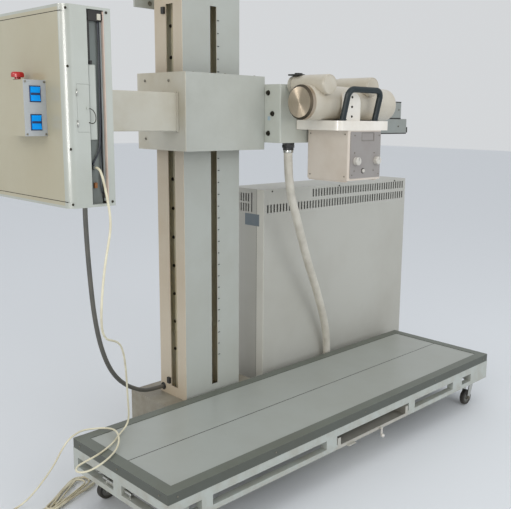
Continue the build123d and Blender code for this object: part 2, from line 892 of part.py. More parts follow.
def collimator_knob(place):
    """Round field-size knob on its shaft."""
    x, z, radius = place
    y = panel_front - running_gap
    grip = rod_y(x, y - knob_length, y, z, knob_radius)
    grip = fillet(grip.edges().group_by(Axis.Y)[0], 4.0)
    shaft = rod_y(x, y, collimator_front + collimator_wall + 8, z, radius)
    return grip + shaft


def lamp_button():
    """Round push button for the light field."""
    x, z, radius = button_place()[0]
    cap = rod_y(x, panel_front - button_length, collimator_front + collimator_wall + 4, z, radius)
    return fillet(cap.edges().group_by(Axis.Y)[0], 2.0)


def generator_body():
    """Sheet steel generator cabinet with a recessed base, open at its front."""
    x0 = generator_left
    x1 = generator_right
    sheet = generator_sheet
    outer = block(x0, x1, body_y, wall_y, generator_base, generator_top)
    inner = block(x0 + sheet, x1 - sheet, body_y, wall_y - sheet, generator_base + sheet,
                  generator_top - sheet)
    body = outer - inner
    low = generator_top - lower_row_drop
    for i in range(side_slots):
        y0 = body_y + 52 + i * side_slot_pitch
        for z0 in (low, low + slot_height + row_gap / 2):
            body = body - block(x0, x0 + sheet, y0, y0 + slot_width * 0.8, z0, z0 + slot_height)
    body = body - block(x0, x0 + sheet, body_y + 30, body_y + 38, low, generator_top - 18)
    inset = generator_base_inset
    return body + block(x0 + inset, x1 - inset, body_y + inset, wall_y - inset, 0, generator_base)


def slot_row(count, right, low):
    """Upright slots in one row, counted from the row's right end."""
    slots = []
    for i in range(count):
        x1 = right - i * slot_pitch
        slots.append(block(x1 - slot_width, x1, generator_front, generator_front + generator_sheet,
                           low, low + slot_height))
    return slots


def generator_cover():
    """Front cover of the generator with two rows of upright cooling slots."""
    sheet = generator_sheet
    outer = block(generator_left, generator_right, generator_front, body_y, generator_base, generator_top)
    outer = fillet(outer.edges().filter_by(Axis.Z).group_by(Axis.Y)[0], 4.0)
    inner = block(generator_left + sheet, generator_right - sheet, generator_front + sheet, body_y,
                  generator_base + sheet, generator_top - sheet)
    cover = outer - inner
    right = generator_right - slot_margin
    low = generator_top - lower_row_drop
    rows = slot_row(lower_slots, right, low) + slot_row(upper_slots, right, low + slot_height + row_gap)
    return cover.cut(*rows)


def hose_end():
    """The lowest centre point of the hose, on the coupling's axis."""
    return (562.0, generator_front - entry_depth / 2, entry_height + coupling_length)


def cable_entry():
    """Floor box at the generator's foot with the coupling that takes the hose."""
    x, y, z = hose_end()
    box = block(x - entry_width / 2, x + entry_width / 2, generator_front - entry_depth, generator_front,
                0, entry_height)
    box = fillet(upright_edges(box), 4.0)
    foot = block(x - entry_width / 2, x + entry_width / 2, generator_front, body_y + generator_base_inset,
                 0, generator_base - 5)
    return box + foot + rod_z(x, y, entry_height, z, coupling_radius)


def post_spans():
    """Posts of the trolley's long sides, as distances from its left end."""
    return [(start * table_length, end * table_length) for start, end in post_shares]


def table_frame():
    """Welded trolley frame: upper and lower rails, posts, cross members and tray guides."""
    t = frame_tube
    mid_low = frame_low + lower_rail
    mid_high = frame_top - upper_rail

    def ring(z0, z1):
        outer = block(table_left, table_right, table_near, table_far, z0, z1)
        return outer - block(table_left + t, table_right - t, table_near + t, table_far - t, z0, z1)

    frame = ring(mid_high, frame_top) + ring(frame_low, mid_low)
    for start, end in post_spans():
        for y0 in (table_near, table_far - t):
            frame = frame + block(table_left + start, table_left + end, y0, y0 + t, mid_low, mid_high)
    for x0 in (table_left, table_right - t):
        frame = frame + block(x0, x0 + t, beam_y - end_post_width / 2, beam_y + end_post_width / 2, mid_low, mid_high)
    gap = block(tray_x0 - slide_gap, tray_x1 + slide_gap, table_near, table_near + t, frame_low, mid_low)
    frame = frame - gap
    for x0 in (tray_x0 - slide_gap - guide_width, tray_x1 + slide_gap):
        x1 = x0 + guide_width
        frame = frame + block(x0, x1, table_near + t, table_far - t, frame_low, frame_low + guide_height)
        frame = frame + block(x0, x1, table_near + t, table_far - t, mid_high, frame_top)
    for x0 in (table_left + cross_left_share * table_length, table_left + cross_right_share * table_length):
        frame = frame + block(x0, x0 + t, table_near + t, table_far - t, mid_high, frame_top)
    for x, y in castor_places():
        pad = castor_pad / 2
        frame = frame + block(x - pad, x + pad, y - pad, y + pad, frame_low, frame_top)
        frame = frame - rod_z(x, y, frame_low, frame_low + king_pin_length + 2, king_pin + fit_gap)
    return frame


def table_band():
    """Edge band of the table top, a rim round both panels."""
    outer = block(table_left, table_right, table_near, table_far, frame_top, table_height)
    w = band_width
    inner = block(table_left + w, table_right - w, table_near + w, table_far - w, frame_top, table_height)
    return fillet(upright_edges(outer), 4.0) - inner


def table_panels():
    """Two long top panels that lie on the frame inside the band."""
    w = band_width
    panels = []
    for y0, y1 in ((table_near + w, beam_y - panel_joint / 2), (beam_y + panel_joint / 2, table_far - w)):
        panels.append(block(table_left + w, table_right - w, y0, y1, frame_top, table_height - panel_drop))
    return Compound(children=panels)


def tray():
    """Cassette tray that slides out at the trolley's front."""
    t = tray_sheet
    z0 = frame_low
    outer = block(tray_x0, tray_x1, table_near, table_near + tray_depth, z0, z0 + tray_height)
    inner = block(tray_x0 + t, tray_x1 - t, table_near + t, table_near + tray_depth - t, z0 + t,
                  z0 + tray_height)
    mouth = block(tray_x0 + tray_mouth_margin, tray_x1 - tray_mouth_margin, table_near, table_near + t,
                  z0 + tray_lip, z0 + tray_height)
    pivot = rod_y(table_left + lever_x, table_near - lever_boss, table_near, z0 + tray_lip / 2, tray_pivot)
    tab_mid = table_left + tab_x
    tab = block(tab_mid - tab_width / 2, tab_mid + tab_width / 2, table_near - tab_reach, table_near,
                z0, z0 + tab_thick)
    shelf = z0 + guide_height + running_gap
    back = table_near + tray_depth
    for x0, x1 in ((tray_x0 - tray_flange, tray_x0), (tray_x1, tray_x1 + tray_flange)):
        outer = outer + block(x0, x1, table_near + frame_tube + 2, back, shelf, shelf + t)
    return outer - inner - mouth + pivot + tab


def tray_lever():
    """Small clamp lever with a white knob on the tray's lip."""
    x = table_left + lever_x
    z = frame_low + tray_lip / 2
    y1 = table_near - lever_boss - running_gap
    arm = block(x - 4, x + 4, y1 - 5, y1, z - lever_length, z + 6)
    arm = fillet(arm.edges().filter_by(Axis.Y), 3.0)
    knob = Pos(x, y1 - 5 - 4, z - lever_length + 4) * Sphere(lever_knob)
    return arm + knob


def castor_places():
    x = (table_left + castor_inset_x, table_right - castor_inset_x)
    y = (table_near + castor_inset_y, table_far - castor_inset_y)
    return [(x[0], y[0]), (x[1], y[0]), (x[0], y[1]), (x[1], y[1])]


def castor_trails():
    """Which way each castor trails at rest: towards the trolley's middle."""
    return (1, -1, 1, -1)


def castor_fork(place, trail):
    """Pressed fork with crown, king pin and wheel axle."""
    x, y = place
    wx = x + trail * castor_trail
    half = wheel_width / 2 + fork_gap
    top = frame_low - running_gap
    crown_low = top - crown_height
    crown = rod_z(x, y, crown_low, top, 24.0)
    bridge = block(min(x - 20, wx - 14), max(x + 20, wx + 14), y - half - fork_sheet, y + half + fork_sheet,
                   crown_low - fork_sheet, crown_low)
    fork = crown + bridge
    for side in (-1, 1):
        y_mid = y + side * (half + fork_sheet / 2)
        outline = Polyline([(x - 18, crown_low), (x + 18, crown_low), (wx + 12, wheel_radius - 8),
                            (wx - 12, wheel_radius - 8)], close=True)
        cheek = extrude(Plane.XZ * make_face(outline), fork_sheet / 2, both=True)
        fork = fork + Pos(0, y_mid, 0) * cheek
    pin = rod_z(x, y, top, frame_low + king_pin_length, king_pin)
    axle = rod_y(wx, y - half - fork_sheet, y + half + fork_sheet, wheel_radius, wheel_axle)
    return fork + pin + axle


def castor_wheel(place, trail):
    """Rubber tyred wheel on a plastic hub."""
    x, y = place
    wx = x + trail * castor_trail
    wheel = rod_y(wx, y - wheel_width / 2, y + wheel_width / 2, wheel_radius, wheel_radius)
    wheel = fillet(wheel.edges().filter_by(GeomType.CIRCLE), 5.0)
    for side in (-1, 1):
        y0 = y + side * wheel_width / 2
        dish = rod_y(wx, min(y0, y0 - side * 4), max(y0, y0 - side * 4), wheel_radius, wheel_radius - 11)
        core = rod_y(wx, min(y0, y0 - side * 4), max(y0, y0 - side * 4), wheel_radius, wheel_axle + 6)
        wheel = wheel - (dish - core)
    bore = rod_y(wx, y - wheel_width, y + wheel_width, wheel_radius, wheel_axle + fit_gap)
    return wheel - bore


def cord_tube(points, radius):
    """A tube along straight runs joined by tangent arcs, each as large as its runs allow."""
    radii = []
    for a, b, c in zip(points, points[1:], points[2:]):
        into = Vector(*b) - Vector(*a)
        out = Vector(*c) - Vector(*b)
        turn = math.radians(into.get_angle(out))
        radii.append(0.45 * min(into.length, out.length) / math.tan(turn / 2))
    path = FilletPolyline(*points, radius=radii)
    section = Plane(origin=path @ 0, z_dir=path % 0) * Circle(radius)
    tube = sweep(section, path)
    share = tube.volume / (math.pi * radius**2 * path.length)
    print(f"tube length {path.length:.0f}, least bend {min(radii):.0f}, volume share {share:.4f}")
    return tube


def hose_points():
    """Route of the hose from its gland to the coupling at the generator's foot."""
    end_x, end_y, end_z = hose_end()
    return [
        (gland_x, gland_y, yoke_low - gland_length),
        (gland_x, gland_y, 1240),
        (92, 24, 1175),
        (121, 38, 1095),
        (172, 55, 1000),
        (228, 74, 902),
        (286, 94, 798),
        (352, 113, 690),
        (421, 133, 576),
        (485, 153, 460),
        (534, 171, 350),
        (end_x, end_y, 245),
        (end_x, end_y, end_z),
    ]


def supply_points():
    """Route of the dark cable from the arm's underside, behind the trolley, to the column's foot."""
    y = cabinet_far + arm_depth * 0.57
    return [
        (supply_x, y, arm_low),
        (supply_x, y, arm_low - supply_drop),
        (-787, 200, 1120),
        (-781, 206, 974),
        (-771, 209, 822),
        (-756, 215, 680),
        (-727, 224, 545),
        (-676, 241, 432),
        (-600, 266, 350),
        (-505, 300, 292),
        (-430, supply_foot_y, supply_foot_z),
        (body_left, supply_foot_y, supply_foot_z),
    ]


def cord_points():
    """Route of the receptor's cord: out of the cabinet, over the trolley's corner, to the floor."""
    return [
        (cord_exit_x, cabinet_near + panel_margin - socket_length, cord_exit_z),
        (cord_exit_x, cabinet_near - 13, cord_exit_z),
        (-1088, -419, cord_exit_z - 24),
        (-1082, -421, 1230),
        (-1075, -421, 1192),
        (-1069, -421, 1152),
        (-1070, -421, 1112),
        (-1080, -422, 1070),
        (-1090, -422, 1025),
        (-1097, -420, 975),
        (-1101, -416, 922),
        (-1098, -404, 868),
        (-1077, -372, 812),
        (-1030, -318, 768),
        (-970, -255, 738),
        (-905, -190, 700),
        (-850, -125, 640),
        (-803, -62, 562),
        (-765, -8, 478),
        (-733, 38, 392),
        (-712, 66, 325),
        (-708, 78, 283),
        (-728, 76, 262),
        (-765, 52, 260),
        (-812, 12, 260),
        (-866, -20, 260),
        (-925, -42, 259),
        (-970, -45, 255),
        (-1000, -52, 252),
        (-1018, -78, 250),
        (-1002, -106, 252),
        (-968, -112, 256),
        (-915, -98, 261),
        (-862, -68, 263),
        (-818, -28, 267),
        (-788, 18, 274),
        (-770, 72, 274),
        (-776, 122, 266),
        (-806, 156, 262),
        (-850, 166, 266),
        (-888, 150, 268),
        (-922, 140, 262),
        (-948, 150, 222),
        (-970, 168, 165),
        (-1000, 196, 105),
        (-1032, 222, 52),
        (-1060, 244, 18),
        (-1092, 252, cord_rest),
        (-1122, 232, cord_rest),
        (-1124, 196, cord_rest),
        (-1100, 175, cord_rest),
        (-1058, cord_lane, cord_rest),
        (hank_face, cord_lane, cord_rest),
    ]


def cord_hank():
    """Outer shape of the loose hank on the floor: gathered at one end, fanned out at the other."""
    with BuildPart() as hank:
        with BuildSketch():
            with Locations(hank_gathered):
                Circle(hank_gathered_radius)
            with Locations(hank_fanned):
                Circle(hank_fanned_radius)
            make_hull()
        extrude(amount=hank_height)
    return hank.part - block(hank_face - 40, hank_face, 60, 300, 0, hank_height)


def cord_plug():
    """Plug on the cord's end, lying on the floor beside the hank."""
    x = hank_face
    neck = rod_x(x - plug_neck, x, plug_lane, plug_radius, plug_neck_radius)
    body = rod_x(x - plug_neck - plug_body, x - plug_neck, plug_lane, plug_radius, plug_radius)
    body = fillet(body.edges(), 1.5)
    tip = x - plug_neck - plug_body
    return neck + body + rod_x(tip - plug_nose, tip, plug_lane, plug_radius, plug_radius - 2)


def write_parts():
    """Every piece by its name."""
    knobs = knob_places()
    upper, lower = rocker_mids()
    parts = {
        "column_body": column_body(),
        "column_front_cover": column_cover(),
        "column_head": column_head(),
        "guide_rails": Compound(children=guide_rails() + rail_stops()),
        "base_plinth": base_plinth(),
        "wall_bracket": wall_bracket(),
        "lift_cable": lift_cable(),
        "head_pulley": head_pulley(),
        "counterweight": counterweight(),
        "carriage_shell": carriage_shell(),
        "carriage_front_cover": carriage_cover(),
        "guide_shoes": guide_shoes(),
        "receptor_arm": receptor_arm(),
        "cabinet_frame": cabinet_frame(),
        "cabinet_cover": cabinet_cover(),
        "cabinet_window": cabinet_window(),
        "receptor_panel": receptor_panel(),
        "service_door": service_door(),
        "control_box": control_box(),
        "control_plate": control_plate(),
        "rocker_upper": rocker(upper),
        "rocker_lower": rocker(lower),
        "stop_button": stop_button(),
        "yoke_box": yoke_box(),
        "arm_bars": arm_bars(),
        "hose_gland": hose_gland(),
        "head_bracket": head_bracket(),
        "tube_housing": tube_housing(),
        "tube_end_cap": end_cap(),
        "tube_end_ring": end_ring(),
        "horn_collars": horn_collars(),
        "tube_insert": tube_insert(),
        "tube_handle": handle(),
        "collimator_housing": collimator_housing(),
        "collimator_panel": collimator_panel(),
        "collimator_window": collimator_window(),
        "knob_left": collimator_knob(knobs[0]),
        "knob_right": collimator_knob(knobs[1]),
        "lamp_button": lamp_button(),
        "generator_body": generator_body(),
        "generator_cover": generator_cover(),
        "cable_entry": cable_entry(),
        "table_frame": table_frame(),
        "table_band": table_band(),
        "table_panels": table_panels(),
        "cassette_tray": tray(),
        "tray_lever": tray_lever(),
        "hose": cord_tube(hose_points(), hose_radius),
        "supply_cable": cord_tube(supply_points(), supply_radius),
        "receptor_cord": cord_tube(cord_points(), cord_radius),
        "cord_hank": cord_hank(),
        "cord_plug": cord_plug(),
    }
    for i, (place, trail) in enumerate(zip(castor_places(), castor_trails()), start=1):
        parts[f"castor_fork_{i}"] = castor_fork(place, trail)
        parts[f"castor_wheel_{i}"] = castor_wheel(place, trail)
    os.makedirs("parts", exist_ok=True)
    for name, shape in parts.items():
        export_step(shape, f"parts/{name}.step")


write_parts()
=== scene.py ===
"""Looks of the containerized x-ray unit, section by section as the unit is put together. Metres."""
import math
import random

import bmesh
import bpy
from mathutils import Matrix, Vector


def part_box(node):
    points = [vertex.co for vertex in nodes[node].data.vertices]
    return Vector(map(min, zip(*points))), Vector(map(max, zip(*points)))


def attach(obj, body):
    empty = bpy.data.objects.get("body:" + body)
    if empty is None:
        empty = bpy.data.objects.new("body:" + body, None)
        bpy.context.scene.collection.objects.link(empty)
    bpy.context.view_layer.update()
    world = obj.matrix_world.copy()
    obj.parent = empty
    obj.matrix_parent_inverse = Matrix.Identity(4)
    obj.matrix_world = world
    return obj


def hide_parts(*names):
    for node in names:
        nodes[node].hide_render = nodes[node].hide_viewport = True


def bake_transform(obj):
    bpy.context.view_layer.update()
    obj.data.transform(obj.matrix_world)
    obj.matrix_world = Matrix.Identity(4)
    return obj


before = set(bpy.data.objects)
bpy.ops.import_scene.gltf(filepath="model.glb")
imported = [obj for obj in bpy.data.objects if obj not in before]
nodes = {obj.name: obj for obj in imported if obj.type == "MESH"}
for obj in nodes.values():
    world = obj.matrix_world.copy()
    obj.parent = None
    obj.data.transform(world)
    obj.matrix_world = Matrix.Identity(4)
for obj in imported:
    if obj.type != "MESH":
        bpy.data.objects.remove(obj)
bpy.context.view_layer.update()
random.seed(7199)


# Camera, lamps and floor.
# The camera stands left of the trolley at a little under head height and looks down by ten degrees.
camera_place = (-2.1358, -2.1329, 1.4262)
camera_heading = math.radians(46.107)
camera_dip = math.radians(-10.431)
camera_roll = math.radians(0.845)
camera_data = bpy.data.cameras.new("camera")
camera_data.sensor_width = 36.0
camera_data.lens = 50.67
camera_data.shift_x = -0.0675
camera_data.shift_y = -0.0088
camera = bpy.data.objects.new("camera", camera_data)
bpy.context.scene.collection.objects.link(camera)
camera.matrix_world = (
    Matrix.Translation(camera_place)
    @ Matrix.Rotation(-camera_heading, 4, "Z")
    @ Matrix.Rotation(math.pi / 2 + camera_dip, 4, "X")
    @ Matrix.Rotation(camera_roll, 4, "Z")
)
bpy.context.scene.camera = camera
bpy.context.scene.view_settings.view_transform = "Standard"


def studio_lamp(name, place, aim, size, power, colour):
    """A rectangular lamp that points at a spot."""
    lamp = bpy.data.lights.new(name, "AREA")
    lamp.shape = "RECTANGLE"
    lamp.size, lamp.size_y = size
    lamp.energy = power
    lamp.color = colour
    holder = bpy.data.objects.new(name, lamp)
    bpy.context.scene.collection.objects.link(holder)
    holder.location = place
    holder.rotation_euler = (Vector(aim) - Vector(place)).to_track_quat("-Z", "Y").to_euler()
    return holder


studio_lamp("left_lamp", (-9.2, -3.1, 4.0), (-0.4, 0.0, 0.9), (6.6, 6.6), 225, (1.0, 0.95, 0.86))
studio_lamp("front_lamp", (0.5, -4.8, 2.6), (0.4, 0.0, 0.8), (3.4, 3.4), 58, (0.95, 0.98, 1.0))
studio_lamp("top_lamp", (0.3, -0.8, 4.6), (0.1, -0.1, 0.0), (2.6, 2.6), 14, (1.0, 1.0, 1.0))
for name, place, aim, size, power in (
    # these two give only a sheen, on the cabinet's edge and on the tube's end cap
    ("edge_light", (-3.8, -1.85, 1.60), (-1.17, -0.39, 1.50), (1.3, 1.2), 62),
    ("cap_light", (-3.3, 0.44, 2.33), (0.0, -0.14, 1.49), (0.5, 0.5), 30),
):
    sheen_lamp = studio_lamp(name, place, aim, size, power, (1.0, 0.98, 0.95))
    sheen_lamp.visible_diffuse = False


def set_inputs(node, **values):
    """Sets inputs of a shader node by their names, written in small letters; returns the node."""
    for name, value in values.items():
        node.inputs[name.replace("_", " ").title()].default_value = value
    return node


def combine(tree, operation, first, second):
    """The outcome of a math node that works on two outputs."""
    node = tree.nodes.new("ShaderNodeMath")
    node.operation = operation
    tree.links.new(first, node.inputs[0])
    tree.links.new(second, node.inputs[1])
    return node.outputs[0]


world = bpy.data.worlds.new("room")
bpy.context.scene.world = world
world.use_nodes = True
sky = world.node_tree
room_light = set_inputs(sky.nodes["Background"], color=(0.93, 0.96, 1.0, 1), strength=0.74)
backdrop_light = set_inputs(sky.nodes.new("ShaderNodeBackground"), color=(0.66, 0.675, 0.69, 1),
                            strength=1.0)
path_kind = sky.nodes.new("ShaderNodeLightPath")
either = combine(sky, "MAXIMUM", path_kind.outputs["Is Camera Ray"], path_kind.outputs["Is Glossy Ray"])
pick = sky.nodes.new("ShaderNodeMixShader")
sky.links.new(either, pick.inputs["Fac"])
sky.links.new(room_light.outputs[0], pick.inputs[1])
sky.links.new(backdrop_light.outputs[0], pick.inputs[2])
sky.links.new(pick.outputs[0], sky.nodes["World Output"].inputs["Surface"])

bpy.ops.object.select_all(action="DESELECT")
bpy.ops.mesh.primitive_plane_add(size=60, location=(0, 0, -0.0006))
floor = bpy.context.object
floor.name = "floor"
bpy.ops.object.transform_apply(location=True, rotation=True, scale=True)
floor_paint = bpy.data.materials.new("pale_floor")
floor_paint.use_nodes = True
set_inputs(floor_paint.node_tree.nodes["Principled BSDF"], base_color=(0.78, 0.80, 0.82, 1), roughness=0.75)
floor.data.materials.append(floor_paint)


# Cords: the beige vinyl hose from the yoke to the generator, the dark supply cable from the receptor
# arm to the column's foot, and the receptor's white cord, which crosses the trolley to the floor.
def tone(*shades):
    """Paint colour written as it looks on a screen, 0 to 255, as linear light."""
    light = [((c / 255 + 0.055) / 1.055) ** 2.4 if c > 10 else c / 255 / 12.92 for c in shades]
    return (*light, 1)


def weathered_group():
    """Node group of worn surfaces: blotches, fine grain, and grime near the floor."""
    group = bpy.data.node_groups.new("weathered", "ShaderNodeTree")
    face = group.interface
    for name, kind, value in (
        ("Base", "NodeSocketColor", (0.6, 0.6, 0.6, 1)),
        ("Tired", "NodeSocketColor", (0.4, 0.4, 0.38, 1)),
        ("Blotch", "NodeSocketFloat", 3.0),
        ("Blotch Share", "NodeSocketFloat", 0.4),
        ("Grain", "NodeSocketFloat", 700.0),
        ("Soil Height", "NodeSocketFloat", 0.15),
        ("Rough Low", "NodeSocketFloat", 0.35),
        ("Rough High", "NodeSocketFloat", 0.55),
    ):
        socket = face.new_socket(name=name, in_out="INPUT", socket_type=kind)
        socket.default_value = value
    for name, kind in (("Color", "Color"), ("Roughness", "Float"), ("Height", "Float")):
        face.new_socket(name=name, in_out="OUTPUT", socket_type="NodeSocket" + kind)
    make, wire = group.nodes.new, group.links.new
    given = make("NodeGroupInput")
    put_out = make("NodeGroupOutput")
    place = make("ShaderNodeTexCoord")

    # blotches where the coat is tired
    blotch = set_inputs(make("ShaderNodeTexNoise"), detail=5, roughness=0.62)
    wire(place.outputs["Object"], blotch.inputs["Vector"])
    wire(given.outputs["Blotch"], blotch.inputs["Scale"])
    spread = set_inputs(make("ShaderNodeMapRange"), from_min=0.40, from_max=0.72)
    wire(blotch.outputs["Fac"], spread.inputs["Value"])
    blotched = combine(group, "MULTIPLY", spread.outputs["Result"], given.outputs["Blotch Share"])

    # grime that thins out with height
    parts = make("ShaderNodeSeparateXYZ")
    wire(place.outputs["Object"], parts.inputs["Vector"])
    low = set_inputs(make("ShaderNodeMapRange"), from_min=0.0, to_min=1.0, to_max=0.0)
    wire(parts.outputs["Z"], low.inputs["Value"])
    wire(given.outputs["Soil Height"], low.inputs["From Max"])
    speck = set_inputs(make("ShaderNodeTexNoise"), scale=26, detail=6)
    wire(place.outputs["Object"], speck.inputs["Vector"])
    soiled = combine(group, "MULTIPLY", low.outputs["Result"], speck.outputs["Fac"])

    # both together choose between the two colours
    wear = combine(group, "ADD", blotched, soiled)
    wear.node.use_clamp = True
    blend = make("ShaderNodeMix")
    blend.data_type = "RGBA"
    wire(wear, blend.inputs["Factor"])
    wire(given.outputs["Base"], blend.inputs["A"])
    wire(given.outputs["Tired"], blend.inputs["B"])
    wire(blend.outputs["Result"], put_out.inputs["Color"])

    # fine grain for gloss and relief
    grain = set_inputs(make("ShaderNodeTexNoise"), detail=2)
    wire(place.outputs["Object"], grain.inputs["Vector"])
    wire(given.outputs["Grain"], grain.inputs["Scale"])
    rough = make("ShaderNodeMapRange")
    wire(grain.outputs["Fac"], rough.inputs["Value"])
    wire(given.outputs["Rough Low"], rough.inputs["To Min"])
    wire(given.outputs["Rough High"], rough.inputs["To Max"])
    wire(rough.outputs["Result"], put_out.inputs["Roughness"])
    wire(grain.outputs["Fac"], put_out.inputs["Height"])
    return group


weathered = weathered_group()


def worn(name, base, tired, blotch=3.0, share=0.4, grain=700.0, bump=0.05, rough=(0.35, 0.55),
         soil=0.15, coat=0.0):
    """A material of the weathered kind; its two colours are screen tones."""
    made = bpy.data.materials.new(name)
    made.use_nodes = True
    tree = made.node_tree
    shader = tree.nodes["Principled BSDF"]
    effect = tree.nodes.new("ShaderNodeGroup")
    effect.node_tree = weathered
    set_inputs(effect, base=tone(*base), tired=tone(*tired), blotch=blotch, blotch_share=share,
               grain=grain, soil_height=soil, rough_low=rough[0], rough_high=rough[1])
    tree.links.new(effect.outputs["Color"], shader.inputs["Base Color"])
    tree.links.new(effect.outputs["Roughness"], shader.inputs["Roughness"])
    relief = set_inputs(tree.nodes.new("ShaderNodeBump"), strength=bump, distance=0.0004)
    tree.links.new(effect.outputs["Height"], relief.inputs["Height"])
    tree.links.new(relief.outputs["Normal"], shader.inputs["Normal"])
    if coat:
        set_inputs(shader, coat_weight=coat, coat_roughness=0.12)
    return made


def route_line(name, route, fineness):
    """Points along the smooth line that a route's points steer."""
    line = bpy.data.curves.new(name, "CURVE")
    line.dimensions = "3D"
    line.resolution_u = fineness
    spline = line.splines.new("NURBS")
    spline.points.add(len(route) - 1)
    for point, spot in zip(spline.points, route):
        point.co = (spot[0], spot[1], spot[2], 1)
    spline.order_u = 3
    spline.use_endpoint_u = True
    holder = bpy.data.objects.new(name, line)
    bpy.context.scene.collection.objects.link(holder)
    bpy.context.view_layer.update()
    drawn = bpy.data.meshes.new_from_object(holder)
    points = [vertex.co.copy() for vertex in drawn.vertices]
    bpy.data.objects.remove(holder)
    bpy.data.meshes.remove(drawn)
    return points


def tube_along(name, points, width_at, sides, look):
    """A closed tube with rings square to the line; width_at gives each ring's radii round its turn."""
    mesh = bpy.data.meshes.new(name)
    shape = bmesh.new()
    up = Vector((0.3, 0.2, 0.9)).normalized()
    rings = []
    travelled = 0.0
    for i, spot in enumerate(points):
        ahead = (points[min(i + 1, len(points) - 1)] - points[max(i - 1, 0)]).normalized()
        side = (up - ahead * up.dot(ahead)).normalized()
        up = side
        other = ahead.cross(side)
        if i:
            travelled += (spot - points[i - 1]).length
        ring = []
        for k in range(sides):
            turn = 2 * math.pi * k / sides
            reach = width_at(travelled, turn)
            ring.append(shape.verts.new(spot + (side * math.cos(turn) + other * math.sin(turn)) * reach))
        rings.append(ring)
    for near, far in zip(rings, rings[1:]):
        for k in range(sides):
            face = shape.faces.new((near[k], near[(k + 1) % sides], far[(k + 1) % sides], far[k]))
            face.smooth = True
    shape.faces.new(list(reversed(rings[0])))
    shape.faces.new(rings[-1])
    bmesh.ops.recalc_face_normals(shape, faces=shape.faces)
    shape.to_mesh(mesh)
    shape.free()
    made = bpy.data.objects.new(name, mesh)
    bpy.context.scene.collection.objects.link(made)
    mesh.materials.append(look)
    return made


hose_radius = 0.0185
hose_top = Vector((0.078, 0.016, 1.2875))
hose_route = [
    hose_top, (0.078, 0.016, 1.240), (0.092, 0.024, 1.175), (0.121, 0.038, 1.095), (0.172, 0.055, 1.000),
    (0.228, 0.074, 0.902), (0.286, 0.094, 0.798), (0.352, 0.113, 0.690), (0.421, 0.133, 0.576),
    (0.485, 0.153, 0.460), (0.534, 0.171, 0.350), (0.562, 0.190, 0.245), (0.562, 0.190, 0.138),
]
hose_line = route_line("hose_line", hose_route, 14)
crinkle_share = 0.016
slack_share = 0.03


def hose_skin(travelled, turn):
    """Shallow crinkles of a soft sleeve over a wound core."""
    crinkle = math.sin(travelled * 520 + 2.1 * math.sin(turn * 2 + travelled * 31))
    slack = math.sin(turn * 3 + travelled * 17) * math.sin(travelled * 46 + 1.3)
    return hose_radius * (1 + crinkle_share * crinkle + slack_share * slack)


hose_vinyl = worn("hose_vinyl", (214, 209, 197), (160, 153, 139), blotch=9, share=0.55, grain=900,
                  bump=0.25, rough=(0.45, 0.65))
hose = tube_along("supply_hose", hose_line, hose_skin, 28, hose_vinyl)
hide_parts("hose")
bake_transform(hose)

supply_radius = 0.0088
supply_top = Vector((-0.788, 0.182, 1.3685))
supply_route = [
    supply_top, (-0.788, 0.182, 1.2905), (-0.787, 0.200, 1.120), (-0.781, 0.206, 0.974),
    (-0.771, 0.209, 0.822), (-0.756, 0.215, 0.680), (-0.727, 0.224, 0.545), (-0.676, 0.241, 0.432),
    (-0.600, 0.266, 0.350), (-0.505, 0.300, 0.292), (-0.430, 0.336, 0.262), (-0.355, 0.336, 0.262),
]
supply_line = route_line("supply_line", supply_route, 12)
cable_jacket = worn("cable_jacket", (84, 84, 80), (118, 112, 100), blotch=11, share=0.45,
                    grain=1200, bump=0.12, rough=(0.4, 0.6), soil=0.3)
supply = tube_along("supply_cable_skin", supply_line, lambda travelled, turn: supply_radius, 18,
                    cable_jacket)
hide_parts("supply_cable")
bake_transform(supply)

cord_radius = 0.0034
cord_rest = 0.005
cord_top = Vector((-1.093, -0.395, 1.285))
cord_route = [
    cord_top, (-1.093, -0.412, 1.285), (-1.088, -0.419, 1.261), (-1.082, -0.421, 1.230),
    (-1.075, -0.421, 1.192), (-1.069, -0.421, 1.152), (-1.070, -0.421, 1.112), (-1.080, -0.422, 1.070),
    (-1.090, -0.422, 1.025), (-1.097, -0.420, 0.975), (-1.101, -0.416, 0.922), (-1.098, -0.404, 0.868),
    (-1.077, -0.372, 0.812), (-1.030, -0.318, 0.768), (-0.970, -0.255, 0.738),
    (-0.905, -0.190, 0.700), (-0.850, -0.125, 0.640), (-0.803, -0.062, 0.562), (-0.765, -0.008, 0.478),
    (-0.733, 0.038, 0.392), (-0.712, 0.066, 0.325), (-0.708, 0.078, 0.283), (-0.728, 0.076, 0.262),
    (-0.765, 0.052, 0.260), (-0.812, 0.012, 0.260), (-0.866, -0.020, 0.260), (-0.925, -0.042, 0.259),
    (-0.970, -0.045, 0.255), (-1.000, -0.052, 0.252), (-1.018, -0.078, 0.250), (-1.002, -0.106, 0.252),
    (-0.968, -0.112, 0.256), (-0.915, -0.098, 0.261), (-0.862, -0.068, 0.263), (-0.818, -0.028, 0.267),
    (-0.788, 0.018, 0.274), (-0.770, 0.072, 0.274), (-0.776, 0.122, 0.266), (-0.806, 0.156, 0.262),
    (-0.850, 0.166, 0.266), (-0.888, 0.150, 0.268), (-0.922, 0.140, 0.262), (-0.948, 0.150, 0.222),
    (-0.970, 0.168, 0.165), (-1.000, 0.196, 0.105), (-1.032, 0.222, 0.052), (-1.060, 0.244, 0.018),
    (-1.092, 0.252, cord_rest), (-1.122, 0.232, cord_rest), (-1.124, 0.196, cord_rest),
    (-1.100, 0.175, cord_rest), (-1.058, 0.170, cord_rest),
]
hank_near = Vector((-0.990, 0.160, 0))
hank_far = Vector((-0.815, 0.250, 0))
hank_axis = (hank_far - hank_near).normalized()
hank_side = Vector((-hank_axis.y, hank_axis.x, 0))
